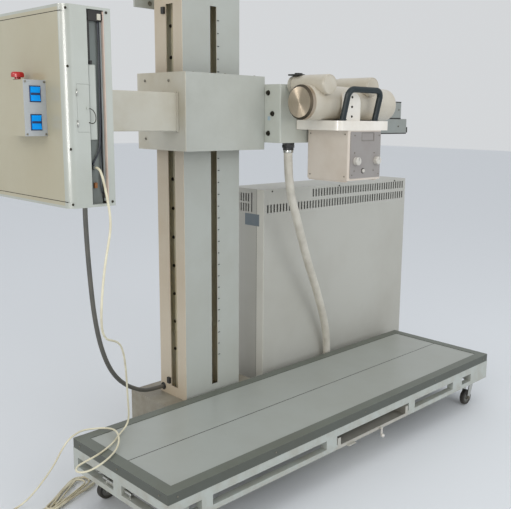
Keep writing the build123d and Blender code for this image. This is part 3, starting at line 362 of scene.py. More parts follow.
hank_turns = [
    # fanned end: radius, shift along the hank and across it; then the same for the gathered end
    (0.0500, 0.000, 0.002, 0.0200, 0.002, 0.001),
    (0.0360, 0.004, 0.012, 0.0135, 0.008, -0.006),
    (0.0430, -0.004, -0.008, 0.0165, 0.004, 0.004),
    (0.0280, -0.016, 0.010, 0.0220, 0.004, -0.002),
    (0.0395, 0.006, -0.009, 0.0140, 0.004, 0.002),
]
hank_lift = 0.0076
hank_unevenness = 0.0009
climb_rate = 1.15
drop_start = 0.93
run_shares = (0.03, 0.075, 0.145, 0.25, 0.40, 0.56, 0.71, 0.85)
arc_steps = 8


def arc_points(centre, radius, first, last):
    """Points round one end of the hank, from one bearing to another; bearing 0 points along the hank."""
    bearings = [first + (last - first) * step / (arc_steps - 1) for step in range(arc_steps)]
    return [centre + (hank_axis * math.cos(b) + hank_side * math.sin(b)) * radius for b in bearings]


def run_back(start, end, shares):
    """Points of a straight run, spaced as the given shares counted from its end."""
    return [start.lerp(end, 1 - share) for share in reversed(shares)]


flat_route = [Vector(cord_route[-1])]
for far_radius, far_on, far_across, near_radius, near_on, near_across in hank_turns:
    far_centre = hank_far + hank_axis * far_on + hank_side * far_across
    near_centre = hank_near + hank_axis * near_on + hank_side * near_across
    quarter = math.pi / 2 + math.asin((far_radius - near_radius) / (far_centre - near_centre).length)
    far_arc = arc_points(far_centre, far_radius, -quarter, quarter)
    near_arc = arc_points(near_centre, near_radius, quarter, 2 * math.pi - quarter)
    start = flat_route[-1]
    flat_route += [start.lerp(far_arc[0], share) for share in run_shares] + far_arc
    # the last turn runs out into the tail instead of going round the gathered end
    if far_radius != hank_turns[-1][0]:
        flat_route += run_back(far_arc[-1], near_arc[0], run_shares) + near_arc
tail = [
    Vector((-0.962, 0.172, 0)), Vector((-0.976, 0.1605, 0)), Vector((-0.990, 0.1535, 0)),
    Vector((-1.004, 0.1505, 0)), Vector((-1.018, 0.150, 0)),
]
flat_route += run_back(far_arc[-1], tail[0], run_shares[2:]) + tail
for number, spot in enumerate(flat_route[1:]):
    done = number / len(flat_route)
    if done < drop_start:
        lift = hank_lift * math.sin(math.pi * min(done * climb_rate, 1) * 0.5)
    else:
        lift = hank_lift * (1 - done) / (1 - drop_start)
    height = cord_rest + lift + hank_unevenness * math.sin(number * 0.42)
    cord_route.append((spot.x, spot.y, height))
cord_line = route_line("cord_line", cord_route, 7)
cord_sheath = worn("cord_sheath", (228, 222, 196), (176, 162, 128), blotch=14, share=0.5,
                   grain=1500, bump=0.1, rough=(0.35, 0.5), soil=0.02)
cord = tube_along("receptor_lead", cord_line, lambda travelled, turn: cord_radius, 10, cord_sheath)
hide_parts("receptor_cord", "cord_hank")
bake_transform(cord)


# Column stand: cream folded body, pale front cover, plinth, wall bracket and what its slots show.
# Old satin enamel with rail bolts and the height scale in front. The cream on left-facing faces is
# painted warm side light, the front cover's greener grey in front is painted cooler front light.
def dress(look, *names):
    """Gives CAD nodes their material."""
    for name in names:
        nodes[name].data.materials.clear()
        nodes[name].data.materials.append(look)


def second_look(name, look, chosen):
    """Gives some faces of a CAD node another material; chosen tells which."""
    mesh = nodes[name].data
    mesh.materials.append(look)
    for face in mesh.polygons:
        if chosen(face):
            face.material_index = len(mesh.materials) - 1


def lies_between(face, low, high):
    """Whether a face's middle lies between two corners."""
    return all(least < place < most for least, place, most in zip(low, face.center, high))


def shape_up(piece, name, look, body):
    """Names a finished piece, gives it its material and fastens it to a body."""
    piece.name = name
    piece.data.materials.clear()
    piece.data.materials.append(look)
    for polygon in piece.data.polygons:
        polygon.use_smooth = False
    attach(piece, body)


def start_shape(add, scale=(1, 1, 1), **sizes):
    """A new primitive with its size and place in its mesh, and its object at the origin."""
    bpy.ops.object.select_all(action="DESELECT")
    add(**sizes)
    piece = bpy.context.object
    piece.scale = scale
    bpy.ops.object.transform_apply(location=True, rotation=True, scale=True)
    return piece


def round_edges(piece, width, segments):
    """Rounds the sharp edges of the active piece."""
    edge = piece.modifiers.new("edge", "BEVEL")
    edge.width = width
    edge.segments = segments
    edge.limit_method = "ANGLE"
    bpy.ops.object.modifier_apply(modifier="edge")


def rounded_block(name, low, high, round_off, look, body, segments=2):
    """A block between two corners with small rounded edges."""
    middle = [(a + b) / 2 for a, b in zip(low, high)]
    spans = [b - a for a, b in zip(low, high)]
    piece = start_shape(bpy.ops.mesh.primitive_cube_add, spans, size=1, location=middle)
    round_edges(piece, round_off, segments)
    shape_up(piece, name, look, body)


def turned_rod(name, start, end, radius, look, body, sides=32, round_off=0.0):
    """A round bar between two points."""
    a, b = Vector(start), Vector(end)
    turn = (b - a).to_track_quat("Z", "Y").to_euler()
    piece = start_shape(bpy.ops.mesh.primitive_cylinder_add, vertices=sides, radius=radius,
                        depth=(b - a).length, location=(a + b) / 2, rotation=turn)
    if round_off:
        round_edges(piece, round_off, 3)
    shape_up(piece, name, look, body)
    for polygon in piece.data.polygons:
        polygon.use_smooth = len(polygon.vertices) == 4


def ring(name, place, facing, radius, thick, look, body, slot):
    """A round ring that lies square to a direction."""
    turn = Vector(facing).to_track_quat("Z", "Y").to_euler()
    piece = start_shape(bpy.ops.mesh.primitive_torus_add, location=place, rotation=turn,
                        major_radius=radius, minor_radius=thick, major_segments=48, minor_segments=12)
    shape_up(piece, name, look, body)
    for polygon in piece.data.polygons:
        polygon.use_smooth = True


def cut_away(piece, cutter):
    """Takes one object's volume out of another and drops the cutter."""
    bite = piece.modifiers.new("bite", "BOOLEAN")
    bite.operation = "DIFFERENCE"
    bite.solver = "EXACT"
    bite.object = cutter
    bpy.context.view_layer.objects.active = piece
    bpy.ops.object.modifier_apply(modifier="bite")
    bpy.data.objects.remove(cutter)


def mesh_alone(piece):
    """Drops an object and hands on its mesh."""
    kept = piece.data
    bpy.data.objects.remove(piece)
    return kept


def screw_pattern():
    """Mesh of a pan head screw of radius 1 with a cross recess, standing on z = 0."""
    head = start_shape(bpy.ops.mesh.primitive_cylinder_add, vertices=32, radius=1, depth=0.62,
                       location=(0, 0, 0.31))
    round_edges(head, 0.34, 4)
    for turn in (0, math.pi / 2):
        blade = start_shape(bpy.ops.mesh.primitive_cube_add, (1.15, 0.24, 0.5), size=1,
                            location=(0, 0, 0.55), rotation=(0, 0, turn + 0.3))
        cut_away(head, blade)
    return mesh_alone(head)


def bolt_pattern(sides, hollow):
    """Mesh of a bolt head of radius 1: a hexagon on a washer, or a round head with a hexagon socket."""
    head = start_shape(bpy.ops.mesh.primitive_cylinder_add, vertices=sides, radius=1, depth=0.8,
                       location=(0, 0, 0.55))
    round_edges(head, 0.09, 2)
    if hollow:
        socket = start_shape(bpy.ops.mesh.primitive_cylinder_add, vertices=6, radius=0.52, depth=0.9,
                             location=(0, 0, 0.95))
        cut_away(head, socket)
    start_shape(bpy.ops.mesh.primitive_cylinder_add, vertices=32, radius=1.4, depth=0.16,
                location=(0, 0, 0.08))
    head.select_set(True)
    bpy.context.view_layer.objects.active = head
    bpy.ops.object.join()
    return mesh_alone(head)


def set_out(pattern, name, spots, facing, radius, look, body):
    """Copies of a small pattern at several spots of a face, each with its own mesh and its own turn."""
    turn = Vector(facing).to_track_quat("Z", "Y").to_matrix().to_4x4()
    for number, spot in enumerate(spots, 1):
        mesh = pattern.copy()
        own_turn = Matrix.Rotation(random.uniform(0, math.pi), 4, "Z")
        mesh.transform(Matrix.Translation(spot) @ turn @ own_turn @ Matrix.Scale(radius, 4))
        piece = bpy.data.objects.new(f"{name}_{number}", mesh)
        bpy.context.scene.collection.objects.link(piece)
        shape_up(piece, f"{name}_{number}", look, body)


def metal(name, colour, rough):
    """Bare metal with fine drawn lines; its colour is a screen tone."""
    made = bpy.data.materials.new(name)
    made.use_nodes = True
    tree = made.node_tree
    shader = set_inputs(tree.nodes["Principled BSDF"], metallic=1.0)
    place = tree.nodes.new("ShaderNodeTexCoord")
    stretch = tree.nodes.new("ShaderNodeMapping")
    tree.links.new(place.outputs["Object"], stretch.inputs["Vector"])
    lines = set_inputs(tree.nodes.new("ShaderNodeTexNoise"), scale=160, detail=4)
    tree.links.new(stretch.outputs["Vector"], lines.inputs["Vector"])
    bright = tone(*colour)
    shade = tree.nodes.new("ShaderNodeMix")
    shade.data_type = "RGBA"
    set_inputs(shade, a=bright, b=(*(c * 0.62 for c in bright[:3]), 1))
    tree.links.new(lines.outputs["Fac"], shade.inputs["Factor"])
    tree.links.new(shade.outputs["Result"], shader.inputs["Base Color"])
    gloss = set_inputs(tree.nodes.new("ShaderNodeMapRange"), to_min=rough * 0.8, to_max=rough * 1.3)
    tree.links.new(lines.outputs["Fac"], gloss.inputs["Value"])
    tree.links.new(gloss.outputs["Result"], shader.inputs["Roughness"])
    relief = set_inputs(tree.nodes.new("ShaderNodeBump"), strength=0.04, distance=0.0003)
    tree.links.new(lines.outputs["Fac"], relief.inputs["Height"])
    tree.links.new(relief.outputs["Normal"], shader.inputs["Normal"])
    return made


to_front = (0, -1, 0)
to_back = (0, 1, 0)
to_left = (-1, 0, 0)
to_right = (1, 0, 0)
upward = (0, 0, 1)
cross_screw = screw_pattern()
hex_bolt = bolt_pattern(6, False)
socket_bolt = bolt_pattern(32, True)
screw_zinc = metal("screw_zinc", (150, 146, 134), 0.38)
screw_dark = metal("screw_dark", (72, 68, 60), 0.45)
bright_plate = metal("bright_plate", (205, 205, 200), 0.22)
# painted light: the rails and the column's inside are near white, far lighter than their real mid grey, to
# make up for the shade deep in the slots
rail_painted_light = worn("rail_painted_light", (242, 238, 218), (214, 188, 140), blotch=3, share=0.6, grain=500,
                 soil=0.3)
# painted light: column_enamel's cream on left-facing faces and cover_enamel's grey in front stand in for
# warm side light and cooler front light
column_enamel = worn("column_enamel", (196, 184, 164), (172, 150, 118), blotch=2.2, share=0.5,
                     grain=520, bump=0.06, rough=(0.34, 0.5), soil=0.35)
cover_enamel = worn("cover_enamel", (178, 181, 174), (160, 158, 146), blotch=2.6, share=0.45,
                    grain=520, bump=0.06, rough=(0.32, 0.48), soil=0.4)
plinth_enamel = worn("plinth_enamel", (158, 154, 140), (112, 100, 82), blotch=5, share=0.6,
                     grain=520, bump=0.08, rough=(0.4, 0.6), soil=0.5)
rubber_black = worn("rubber_black", (34, 33, 32), (70, 66, 58), blotch=18, share=0.4, grain=800,
                    bump=0.15, rough=(0.5, 0.75), soil=0.05)
column_inside_painted_light = worn("column_inside_painted_light", (236, 230, 204), (206, 178, 132), blotch=4, share=0.6,
                     grain=500, rough=(0.45, 0.65), soil=0.4)
dress(column_enamel, "column_body", "column_head")
dress(cover_enamel, "column_front_cover", "wall_bracket")
dress(plinth_enamel, "base_plinth")
dress(rail_painted_light, "guide_rails")
# the cover's left-facing faces take the cream: painted warm side light
second_look("column_front_cover", column_enamel, lambda face: face.normal.x < -0.2)
second_look("guide_rails", rubber_black,
            lambda face: face.center.y > 0.2825 and not -0.33 < face.center.x < -0.088)
# the column's inside faces take the near-white paint: painted light against the shade inside
second_look("column_body", column_inside_painted_light,
            lambda face: lies_between(face, (-0.3515, 0.1795), (-0.0665, 0.3515)))

rail_bolt_top = 1.78
rail_bolt_pitch = 0.1225
rail_bolt_heights = [rail_bolt_top - rail_bolt_pitch * n for n in range(12)]
for side, x, facing in (("left", -0.317, to_left), ("right", -0.101, to_right)):
    set_out(socket_bolt, f"{side}_rail_bolt", [(x, 0.299, z) for z in rail_bolt_heights], facing,
            0.0052, screw_dark, "base")
set_out(hex_bolt, "bracket_bolt", [(x, 0.443, z) for x in (-0.314, -0.104) for z in (1.88, 1.94)],
        to_front, 0.0068, screw_zinc, "base")
scale_ink = worn("scale_ink", (52, 54, 54), (80, 80, 76), blotch=60, share=0.3)
scale_start = 0.405
tick_pitch = 0.05
tick_left = -0.1815
tick_half = 0.0021
for number in range(29):
    height = scale_start + tick_pitch * number
    tick_right = tick_left + (0.0085 if number % 2 else 0.0105)
    rounded_block(f"scale_tick_{number + 1}", (tick_left, 0.1722, height - tick_half),
                  (tick_right, 0.1732, height + tick_half), 0.0001, scale_ink, "base", 1)
set_out(hex_bolt, "anchor_bolt", [(x, y, 0.004) for x in (-0.408, -0.010) for y in (0.200, 0.412)],
        upward, 0.010, screw_zinc, "base")
ring("supply_grommet", (-0.356, 0.336, 0.262), to_right, 0.0125, 0.0038, rubber_black, "base",
     "black_rubber")


# Lift gear: rope over the head pulley, iron weight inside the column.
# Dull wire rope, a plated pulley and primed iron, of which little shows through the slots.
rope_steel = metal("rope_steel", (120, 118, 110), 0.5)
iron_primer = worn("iron_primer", (206, 202, 180), (172, 150, 116), blotch=7, share=0.5,
                   grain=500, bump=0.12, rough=(0.55, 0.75), soil=0.4)
dress(rope_steel, "lift_cable")
dress(bright_plate, "head_pulley")
dress(iron_primer, "counterweight")


# Carriage: grey front cover, cream side plates, shoes, and the receptor arm on its left.
# Fine hammered paint in front, smoother on the sides; pan head screws hold the side plates.
# The sides' cream is painted warm side light, the front's grey is painted cooler front light.
# painted light: carriage_cream on the sides and carriage_coat in front stand in for warm side light and
# cooler front light
carriage_coat = worn("carriage_coat", (184, 186, 178), (158, 158, 146), blotch=4.5, share=0.4,
                     grain=950, bump=0.16, rough=(0.4, 0.58), soil=0.02)
carriage_cream = worn("carriage_cream", (198, 194, 180), (170, 156, 126), blotch=4, share=0.5,
                      grain=800, bump=0.1, rough=(0.38, 0.54), soil=0.02)
shoe_nylon = worn("shoe_nylon", (52, 52, 50), (80, 78, 72), blotch=20, share=0.3,
                  rough=(0.4, 0.6))
dress(carriage_cream, "carriage_shell", "receptor_arm")
dress(carriage_coat, "carriage_front_cover")
dress(shoe_nylon, "guide_shoes")
# the front cover's left-facing faces take the cream: painted warm side light
second_look("carriage_front_cover", carriage_cream, lambda face: face.normal.x < -0.2)
shell_left = -0.4175
shell_right = -0.0005
collar_left = -0.4255
set_out(cross_screw, "left_plate_screw",
        [(shell_left, y, z) for y, z in ((0.338, 1.562), (0.182, 1.560), (0.340, 1.334))],
        to_left, 0.0056, screw_zinc, "carriage")
set_out(cross_screw, "right_plate_screw",
        [(shell_right, y, z) for y in (0.215, 0.350) for z in (1.325, 1.562)],
        to_right, 0.005, screw_zinc, "carriage")
set_out(cross_screw, "front_cover_screw", [(x, 0.092, 1.592) for x in (-0.37, -0.209, -0.05)],
        upward, 0.004, screw_zinc, "carriage")
rounded_block("arm_end_collar", (collar_left, 0.1215, 1.3645), (shell_left, 0.2285, 1.5175), 0.0015,
              carriage_cream, "carriage")
set_out(cross_screw, "arm_collar_screw",
        [(collar_left, y, z) for y in (0.1235, 0.2265) for z in (1.3665, 1.5155)],
        to_left, 0.0018, screw_zinc, "carriage")


# Receptor cabinet: tan textured cover, pale face frame, service door, control box and switches.
# Its tall side opening shows the receptor's case with leads, a connector and a clip strip.
# cabinet_tan on left faces and cabinet_pale in front: partly two-tone paint, partly painted warm side light
# and cooler front light
cabinet_tan = worn("cabinet_tan", (182, 176, 152), (166, 152, 118), blotch=2.0, share=0.45,
                   grain=1100, bump=0.12, rough=(0.34, 0.5), soil=0.02, coat=0.3)
cabinet_pale = worn("cabinet_pale", (182, 186, 178), (160, 160, 146), blotch=3.5, share=0.4,
                    grain=900, bump=0.06, rough=(0.3, 0.42), soil=0.02, coat=0.5)
window_satin = worn("window_satin", (190, 194, 190), (170, 172, 166), blotch=2, share=0.3,
                    rough=(0.25, 0.4))
case_grey = worn("case_grey", (118, 124, 120), (92, 92, 86), blotch=6, share=0.5, grain=700,
                 bump=0.1, rough=(0.45, 0.65), soil=0.02)
plate_blue_grey = worn("plate_blue_grey", (180, 184, 187), (162, 164, 160), blotch=8, share=0.4,
                       rough=(0.3, 0.45), soil=0.02)
switch_blue = worn("switch_blue", (0, 162, 255), (0, 124, 226), blotch=50, share=0.3, grain=300,
                   bump=0.02, rough=(0.3, 0.4), soil=0.0)
switch_blue.node_tree.nodes["Principled BSDF"].inputs["Specular IOR Level"].default_value = 0.15
switch_red = worn("switch_red", (196, 14, 16), (140, 8, 10), blotch=40, share=0.35, bump=0.02,
                  rough=(0.3, 0.4), soil=0.0)
navy_line = worn("navy_line", (18, 44, 92), (14, 30, 64), blotch=40, share=0.3)
dress(cabinet_tan, "cabinet_cover", "control_box")
dress(cabinet_pale, "cabinet_frame", "service_door")
dress(window_satin, "cabinet_window")
dress(case_grey, "receptor_panel")
dress(plate_blue_grey, "control_plate")
dress(switch_blue, "rocker_upper", "rocker_lower")
dress(switch_red, "stop_button")
# the cover's front, back and rounded corner take the pale paint: partly two-tone paint, partly painted
# cooler front light and painted highlight on the corner
second_look("cabinet_cover", cabinet_pale, lambda face: abs(face.normal.y) > 0.12)

valley_half = 0.0028
bezel_bars = (
    # left and right edge, lower and upper edge from the rocker's middle
    (-1.2238, -1.2218, -0.0212, 0.0212),
    (-1.1942, -1.1922, -0.0212, 0.0212),
    (-1.2238, -1.1922, 0.0194, 0.0214),
    (-1.2238, -1.1922, -0.0214, -0.0194),
)
for rocker, height in (("rocker_upper", 1.478), ("rocker_lower", 1.404)):
    rounded_block(rocker + "_valley", (-1.2205, -0.2999, height - valley_half),
                  (-1.1955, -0.2975, height + valley_half), 0.0003, navy_line, rocker, 1)
    for number, (left, right, low, high) in enumerate(bezel_bars, 1):
        rounded_block(f"{rocker}_bezel_{number}", (left, -0.2982, height + low),
                      (right, -0.2969, height + high), 0.0003, navy_line, "carriage", 1)
set_out(cross_screw, "plate_screw", [(x, -0.297, z) for x in (-1.2345, -1.1815) for z in (1.3725, 1.5095)],
        to_front, 0.0029, screw_zinc, "carriage")
ring("stop_collar", (-1.208, -0.203, 1.5155), upward, 0.0112, 0.0022, rubber_black, "carriage",
     "black_rubber")
side_screw_spots = (
    (-1.168, 1.548), (-1.168, 1.336), (-1.168, 1.190), (-1.168, 1.692), (-1.050, 1.692), (-1.047, 1.190),
)
set_out(cross_screw, "cabinet_side_screw", [(x, -0.399, z) for x, z in side_screw_spots],
        to_front, 0.0036, screw_dark, "carriage")
seam_half = 0.0009
for name, height in (("rear_seam_low", 1.196), ("rear_seam_high", 1.686)):
    rounded_block(name, (-1.1774, -0.392, height - seam_half), (-1.1768, 0.118, height + seam_half),
                  0.0002, screw_dark, "carriage", 1)

edge_grey = worn("edge_grey", (150, 156, 154), (120, 122, 118), blotch=10, share=0.4,
                 rough=(0.4, 0.6))
lip_cream = worn("lip_cream", (206, 186, 172), (170, 148, 130), blotch=20, share=0.4,
                 rough=(0.3, 0.45))
connector_white = worn("connector_white", (206, 202, 186), (168, 158, 134), blotch=30, share=0.4,
                       rough=(0.3, 0.5), soil=0.0)
clip_amber = worn("clip_amber", (150, 96, 46), (110, 70, 36), blotch=40, share=0.4)
for name, low, high, round_off, segments, look, slot in (
    ("opening_lip", (-1.0612, -0.4002, 1.188), (-1.0578, -0.3880, 1.694), 0.0008, 2,
     lip_cream, "cabinet_trim"),
    ("opening_shade", (-1.1035, -0.3965, 1.668), (-1.0625, -0.386, 1.6955), 0.001, 2,
     rubber_black, "receptor_case"),
    ("opening_gap", (-1.1075, -0.3975, 1.568), (-1.1003, -0.3862, 1.668), 0.001, 2,
     rubber_black, "black_rubber"),
    ("case_edge", (-1.0660, -0.3925, 1.192), (-1.0614, -0.3860, 1.667), 0.001, 2,
     edge_grey, "receptor_case"),
    ("connector_body", (-1.0765, -0.3985, 1.671), (-1.0655, -0.3955, 1.687), 0.001, 2,
     connector_white, "knob_white"),
    ("connector_latch", (-1.0645, -0.3985, 1.672), (-1.0595, -0.3955, 1.685), 0.0008, 2,
     rubber_black, "black_rubber"),
    ("case_strip", (-1.1045, -0.3925, 1.359), (-1.0815, -0.385, 1.557), 0.0036, 4,
     cabinet_pale, "cabinet_trim"),
    ("strip_catch", (-1.1005, -0.3935, 1.558), (-1.0925, -0.3855, 1.567), 0.001, 2,
     rubber_black, "black_rubber"),
    ("lead_clip", (-1.0965, -0.3925, 1.229), (-1.0875, -0.3855, 1.244), 0.0012, 2,
     clip_amber, "cabinet_trim"),
    ("lower_catch", (-1.0695, -0.3945, 1.201), (-1.0605, -0.3855, 1.215), 0.001, 2,
     rubber_black, "black_rubber"),
):
    rounded_block(name, low, high, round_off, look, "carriage", segments)


def thin_wire(name, route, radius, sides, look, body):
    """A thin lead or wire that keeps its bends."""
    line = route_line(name + "_line", route, 10)
    wire = tube_along(name, line, lambda travelled, turn: radius, sides, look)
    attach(wire, body)


lead_navy = worn("lead_navy", (38, 42, 52), (60, 62, 66), blotch=40, share=0.3,
                 rough=(0.4, 0.55))
thin_wire("inner_lead", [
    (-1.0715, -0.391, 1.672), (-1.0705, -0.3915, 1.60), (-1.0720, -0.391, 1.507),
    (-1.0725, -0.391, 1.43), (-1.0735, -0.391, 1.37), (-1.0800, -0.391, 1.325),
    (-1.0960, -0.3915, 1.302), (-1.0985, -0.388, 1.292),
], 0.0023, 12, lead_navy, "carriage")
thin_wire("thin_lead", [
    (-1.0735, -0.3885, 1.352), (-1.0725, -0.3895, 1.32), (-1.0750, -0.3895, 1.28),
    (-1.0780, -0.3890, 1.245), (-1.0720, -0.3885, 1.214),
], 0.0014, 10, lead_navy, "carriage")
thin_wire("door_wire_loop", [
    (-1.1105, -0.3985, 1.4415), (-1.1085, -0.4035, 1.4425), (-1.1000, -0.4045, 1.4370),
    (-1.0925, -0.4040, 1.4230), (-1.0935, -0.4040, 1.4090), (-1.1010, -0.4045, 1.4025),
    (-1.1085, -0.4035, 1.4040), (-1.1105, -0.3985, 1.4055),
], 0.0011, 8, screw_dark, "service_door")
hinge_pin_half = 0.009
for number, height in enumerate((1.402, 1.483), 1):
    turned_rod(f"door_hinge_pin_{number}", (-1.1445, -0.4005, height - hinge_pin_half),
               (-1.1445, -0.4005, height + hinge_pin_half), 0.0016, bright_plate, "service_door",
               16)


# Yoke and bars: the box that carries the tube head, its bolts, the hose gland and the two bars behind.
# Hammered paint a little paler than the carriage's; grey bars with rubber strips and a black end.
bar_cream = worn("bar_cream", (146, 151, 147), (132, 131, 121), blotch=6, share=0.4, grain=700,
                 bump=0.08, rough=(0.36, 0.5), soil=0.02)
yoke_coat = worn("yoke_coat", (196, 199, 190), (170, 168, 154), blotch=4.5, share=0.4, grain=950,
                 bump=0.16, rough=(0.4, 0.58), soil=0.02)
gland_black = worn("gland_black", (36, 36, 38), (60, 58, 56), blotch=30, share=0.3,
                   rough=(0.35, 0.5), soil=0.0)
inlay_blue = worn("inlay_blue", (168, 188, 198), (140, 160, 172), blotch=30, share=0.3)
dress(yoke_coat, "yoke_box")
dress(bar_cream, "arm_bars")
dress(gland_black, "hose_gland")
set_out(socket_bolt, "yoke_bolt",
        [(shell_right, y, z) for y, z in ((0.060, 1.526), (0.034, 1.441), (0.058, 1.360))],
        to_left, 0.0078, screw_dark, "carriage")
rounded_block("yoke_inlay", (-0.0013, 0.046, 1.414), (-0.0003, 0.062, 1.430), 0.0004, inlay_blue,
              "carriage", 1)
rounded_block("bar_end_piece", (0.9085, 0.004, 1.360), (0.9285, 0.060, 1.388), 0.002, rubber_black,
              "carriage")
for name, low, high, reach in (
    ("bar_strip_top", 1.5055, 1.5105, 0.8585),
    ("bar_strip_mid", 1.4262, 1.4318, 0.8585),
    ("bar_strip_low", 1.3545, 1.3595, 0.9080),
):
    rounded_block(name, (0.3935, -0.0028, low), (reach, -0.0016, high), 0.0004, rubber_black, "carriage",
                  1)
set_out(cross_screw, "bar_screw", [(x, -0.002, z) for x in (0.60, 0.84) for z in (1.391, 1.471)],
        to_front, 0.0042, screw_zinc, "carriage")
gland_x = 0.078
gland_y = 0.016
turned_rod("gland_nut", (gland_x, gland_y, 1.3135), (gland_x, gland_y, 1.3000), 0.0275, gland_black,
           "carriage", 6, 0.0012)
turned_rod("gland_ferrule", (gland_x, gland_y, 1.2930), (gland_x, gland_y, 1.2790), 0.0222,
           bright_plate, "carriage", 40, 0.0012)


# Tube head: cream enamelled tube housing with two cable horns, brushed end cap and slate handle.
# The cap is turned steel with a dull chamfer; ribbed white collars clamp the horns' ends.
tube_enamel = worn("tube_enamel", (200, 193, 178), (172, 156, 128), blotch=6, share=0.4,
                   grain=420, bump=0.05, rough=(0.22, 0.36), soil=0.0, coat=0.25)
bracket_enamel = worn("bracket_enamel", (238, 233, 224), (206, 194, 172), blotch=8, share=0.4,
                      grain=420, bump=0.05, rough=(0.24, 0.38), soil=0.0, coat=0.25)
collar_white = worn("collar_white", (206, 202, 190), (170, 160, 138), blotch=20, share=0.4,
                    rough=(0.3, 0.45), soil=0.0)
handle_grip = worn("handle_grip", (12, 29, 33), (30, 45, 49), blotch=30, share=0.35, grain=900,
                   bump=0.14, rough=(0.38, 0.55), soil=0.0)
chamfer_steel = metal("chamfer_steel", (96, 88, 76), 0.5)
turned_steel = metal("turned_steel", (214, 198, 178), 0.32)
steel_tree = turned_steel.node_tree
steel_shader = set_inputs(steel_tree.nodes["Principled BSDF"], anisotropic=0.9)
swirl = steel_tree.nodes.new("ShaderNodeTangent")
swirl.direction_type = "RADIAL"
swirl.axis = "X"
steel_tree.links.new(swirl.outputs["Tangent"], steel_shader.inputs["Tangent"])
axis_spot = steel_tree.nodes.new("ShaderNodeVectorMath")
axis_spot.operation = "DISTANCE"
axis_spot.inputs[1].default_value = (0, -0.137, 1.487)
flatten = set_inputs(steel_tree.nodes["Mapping"], scale=(0, 1, 1))
steel_tree.links.new(flatten.outputs["Vector"], axis_spot.inputs[0])
steel_tree.links.new(axis_spot.outputs["Value"], steel_tree.nodes["Noise Texture"].inputs["Vector"])


def clear_glass(name, colour, roughness, transmission):
    """See-through glass or plastic; its colour is a screen tone."""
    made = bpy.data.materials.new(name)
    made.use_nodes = True
    shader = made.node_tree.nodes["Principled BSDF"]
    set_inputs(shader, base_color=tone(*colour), roughness=roughness, transmission_weight=transmission)
    return made


bulb_glass = clear_glass("bulb_glass", (214, 224, 222), 0.04, 0.9)
dress(tube_enamel, "tube_housing")
dress(bracket_enamel, "head_bracket")
dress(turned_steel, "tube_end_cap")
dress(rubber_black, "tube_end_ring")
dress(collar_white, "horn_collars")
dress(bulb_glass, "tube_insert")
dress(handle_grip, "tube_handle")
second_look("tube_end_cap", chamfer_steel, lambda face: -0.999 < face.normal.x < -0.2)
set_out(socket_bolt, "face_plate_bolt", [(0.206, -0.221, z) for z in (1.512, 1.473, 1.434)],
        to_front, 0.0036, screw_dark, "tube_head")
for number, place in enumerate((0.067, 0.342), 1):
    ring(f"horn_rim_{number}", (place, -0.2212, 1.558), to_back, 0.0372, 0.0012, tube_enamel,
         "tube_head", "tube_paint")
rounded_block("horn_strap", (0.028, -0.082, 1.5945), (0.070, -0.024, 1.6005), 0.002, rubber_black,
              "tube_head")
rounded_block("strap_latch", (0.036, -0.074, 1.6000), (0.064, -0.054, 1.6050), 0.0015, rubber_black,
              "tube_head")
for number, place in enumerate((0.126, 0.336), 1):
    turned_rod(f"handle_foot_{number}", (place, -0.2395, 1.4190), (place, -0.2395, 1.4225), 0.0175,
               handle_grip, "tube_head", 32, 0.001)
turned_rod("housing_plug", (0.440, -0.137, 1.5565), (0.440, -0.137, 1.5610), 0.012, bright_plate,
           "tube_head", 32, 0.0008)


# Collimator: pinkish cream box under the slab with a paler front panel, two knobs and a lamp button.
# Small screws at the panel's corners, a shallow window with rounded ends, accessory rails below.
collimator_cream = worn("collimator_cream", (216, 206, 194), (190, 172, 152), blotch=6,
                        share=0.4, grain=600, bump=0.07, rough=(0.34, 0.5), soil=0.0)
collimator_front = worn("collimator_front", (152, 147, 143), (138, 128, 124), blotch=9,
                        share=0.4, grain=500, bump=0.05, rough=(0.32, 0.48), soil=0.0)
knob_enamel = worn("knob_enamel", (206, 202, 194), (172, 164, 150), blotch=30, share=0.35,
                   rough=(0.2, 0.35), soil=0.0)
window_film = clear_glass("window_film", (206, 222, 222), 0.08, 0.85)
dress(collimator_cream, "collimator_housing")
dress(collimator_front, "collimator_panel")
dress(window_film, "collimator_window")
dress(knob_enamel, "knob_left", "knob_right", "lamp_button")
panel_face = -0.255
panel_screw_spots = (
    (0.190, 1.287), (0.321, 1.285), (0.190, 1.213), (0.318, 1.212),
    (0.189, 1.358), (0.352, 1.358), (0.352, 1.196), (0.176, 1.196),
)
set_out(cross_screw, "panel_screw", [(x, panel_face, z) for x, z in panel_screw_spots],
        to_front, 0.0028, screw_zinc, "tube_head")
set_out(cross_screw, "housing_side_screw",
        [(0.155, y, z) for y in (-0.232, -0.042) for z in (1.190, 1.362)],
        to_left, 0.0034, screw_zinc, "tube_head")
edge_face = -0.2556
ring("lamp_ring", (0.248, edge_face, 1.212), to_back, 0.0096, 0.0014, gland_black, "tube_head",
     "button_black")
pointer_half = 0.0008
for knob, place in (("knob_left", 0.1995), ("knob_right", 0.3345)):
    rounded_block(knob + "_pointer", (place - pointer_half, -0.2737, 1.2545),
                  (place + pointer_half, -0.2731, 1.2675), 0.0002, screw_dark, knob, 1)
for name, left, right, low, high in (
    ("recess_edge_top", 0.2350, 0.3170, 1.3678, 1.3692),
    ("recess_edge_low", 0.2350, 0.3170, 1.3348, 1.3362),
    ("recess_edge_left", 0.2343, 0.2357, 1.3355, 1.3685),
    ("recess_edge_right", 0.3163, 0.3177, 1.3355, 1.3685),
):
    rounded_block(name, (left, edge_face, low), (right, -0.2548, high), 0.0002, screw_zinc, "tube_head",
                  1)


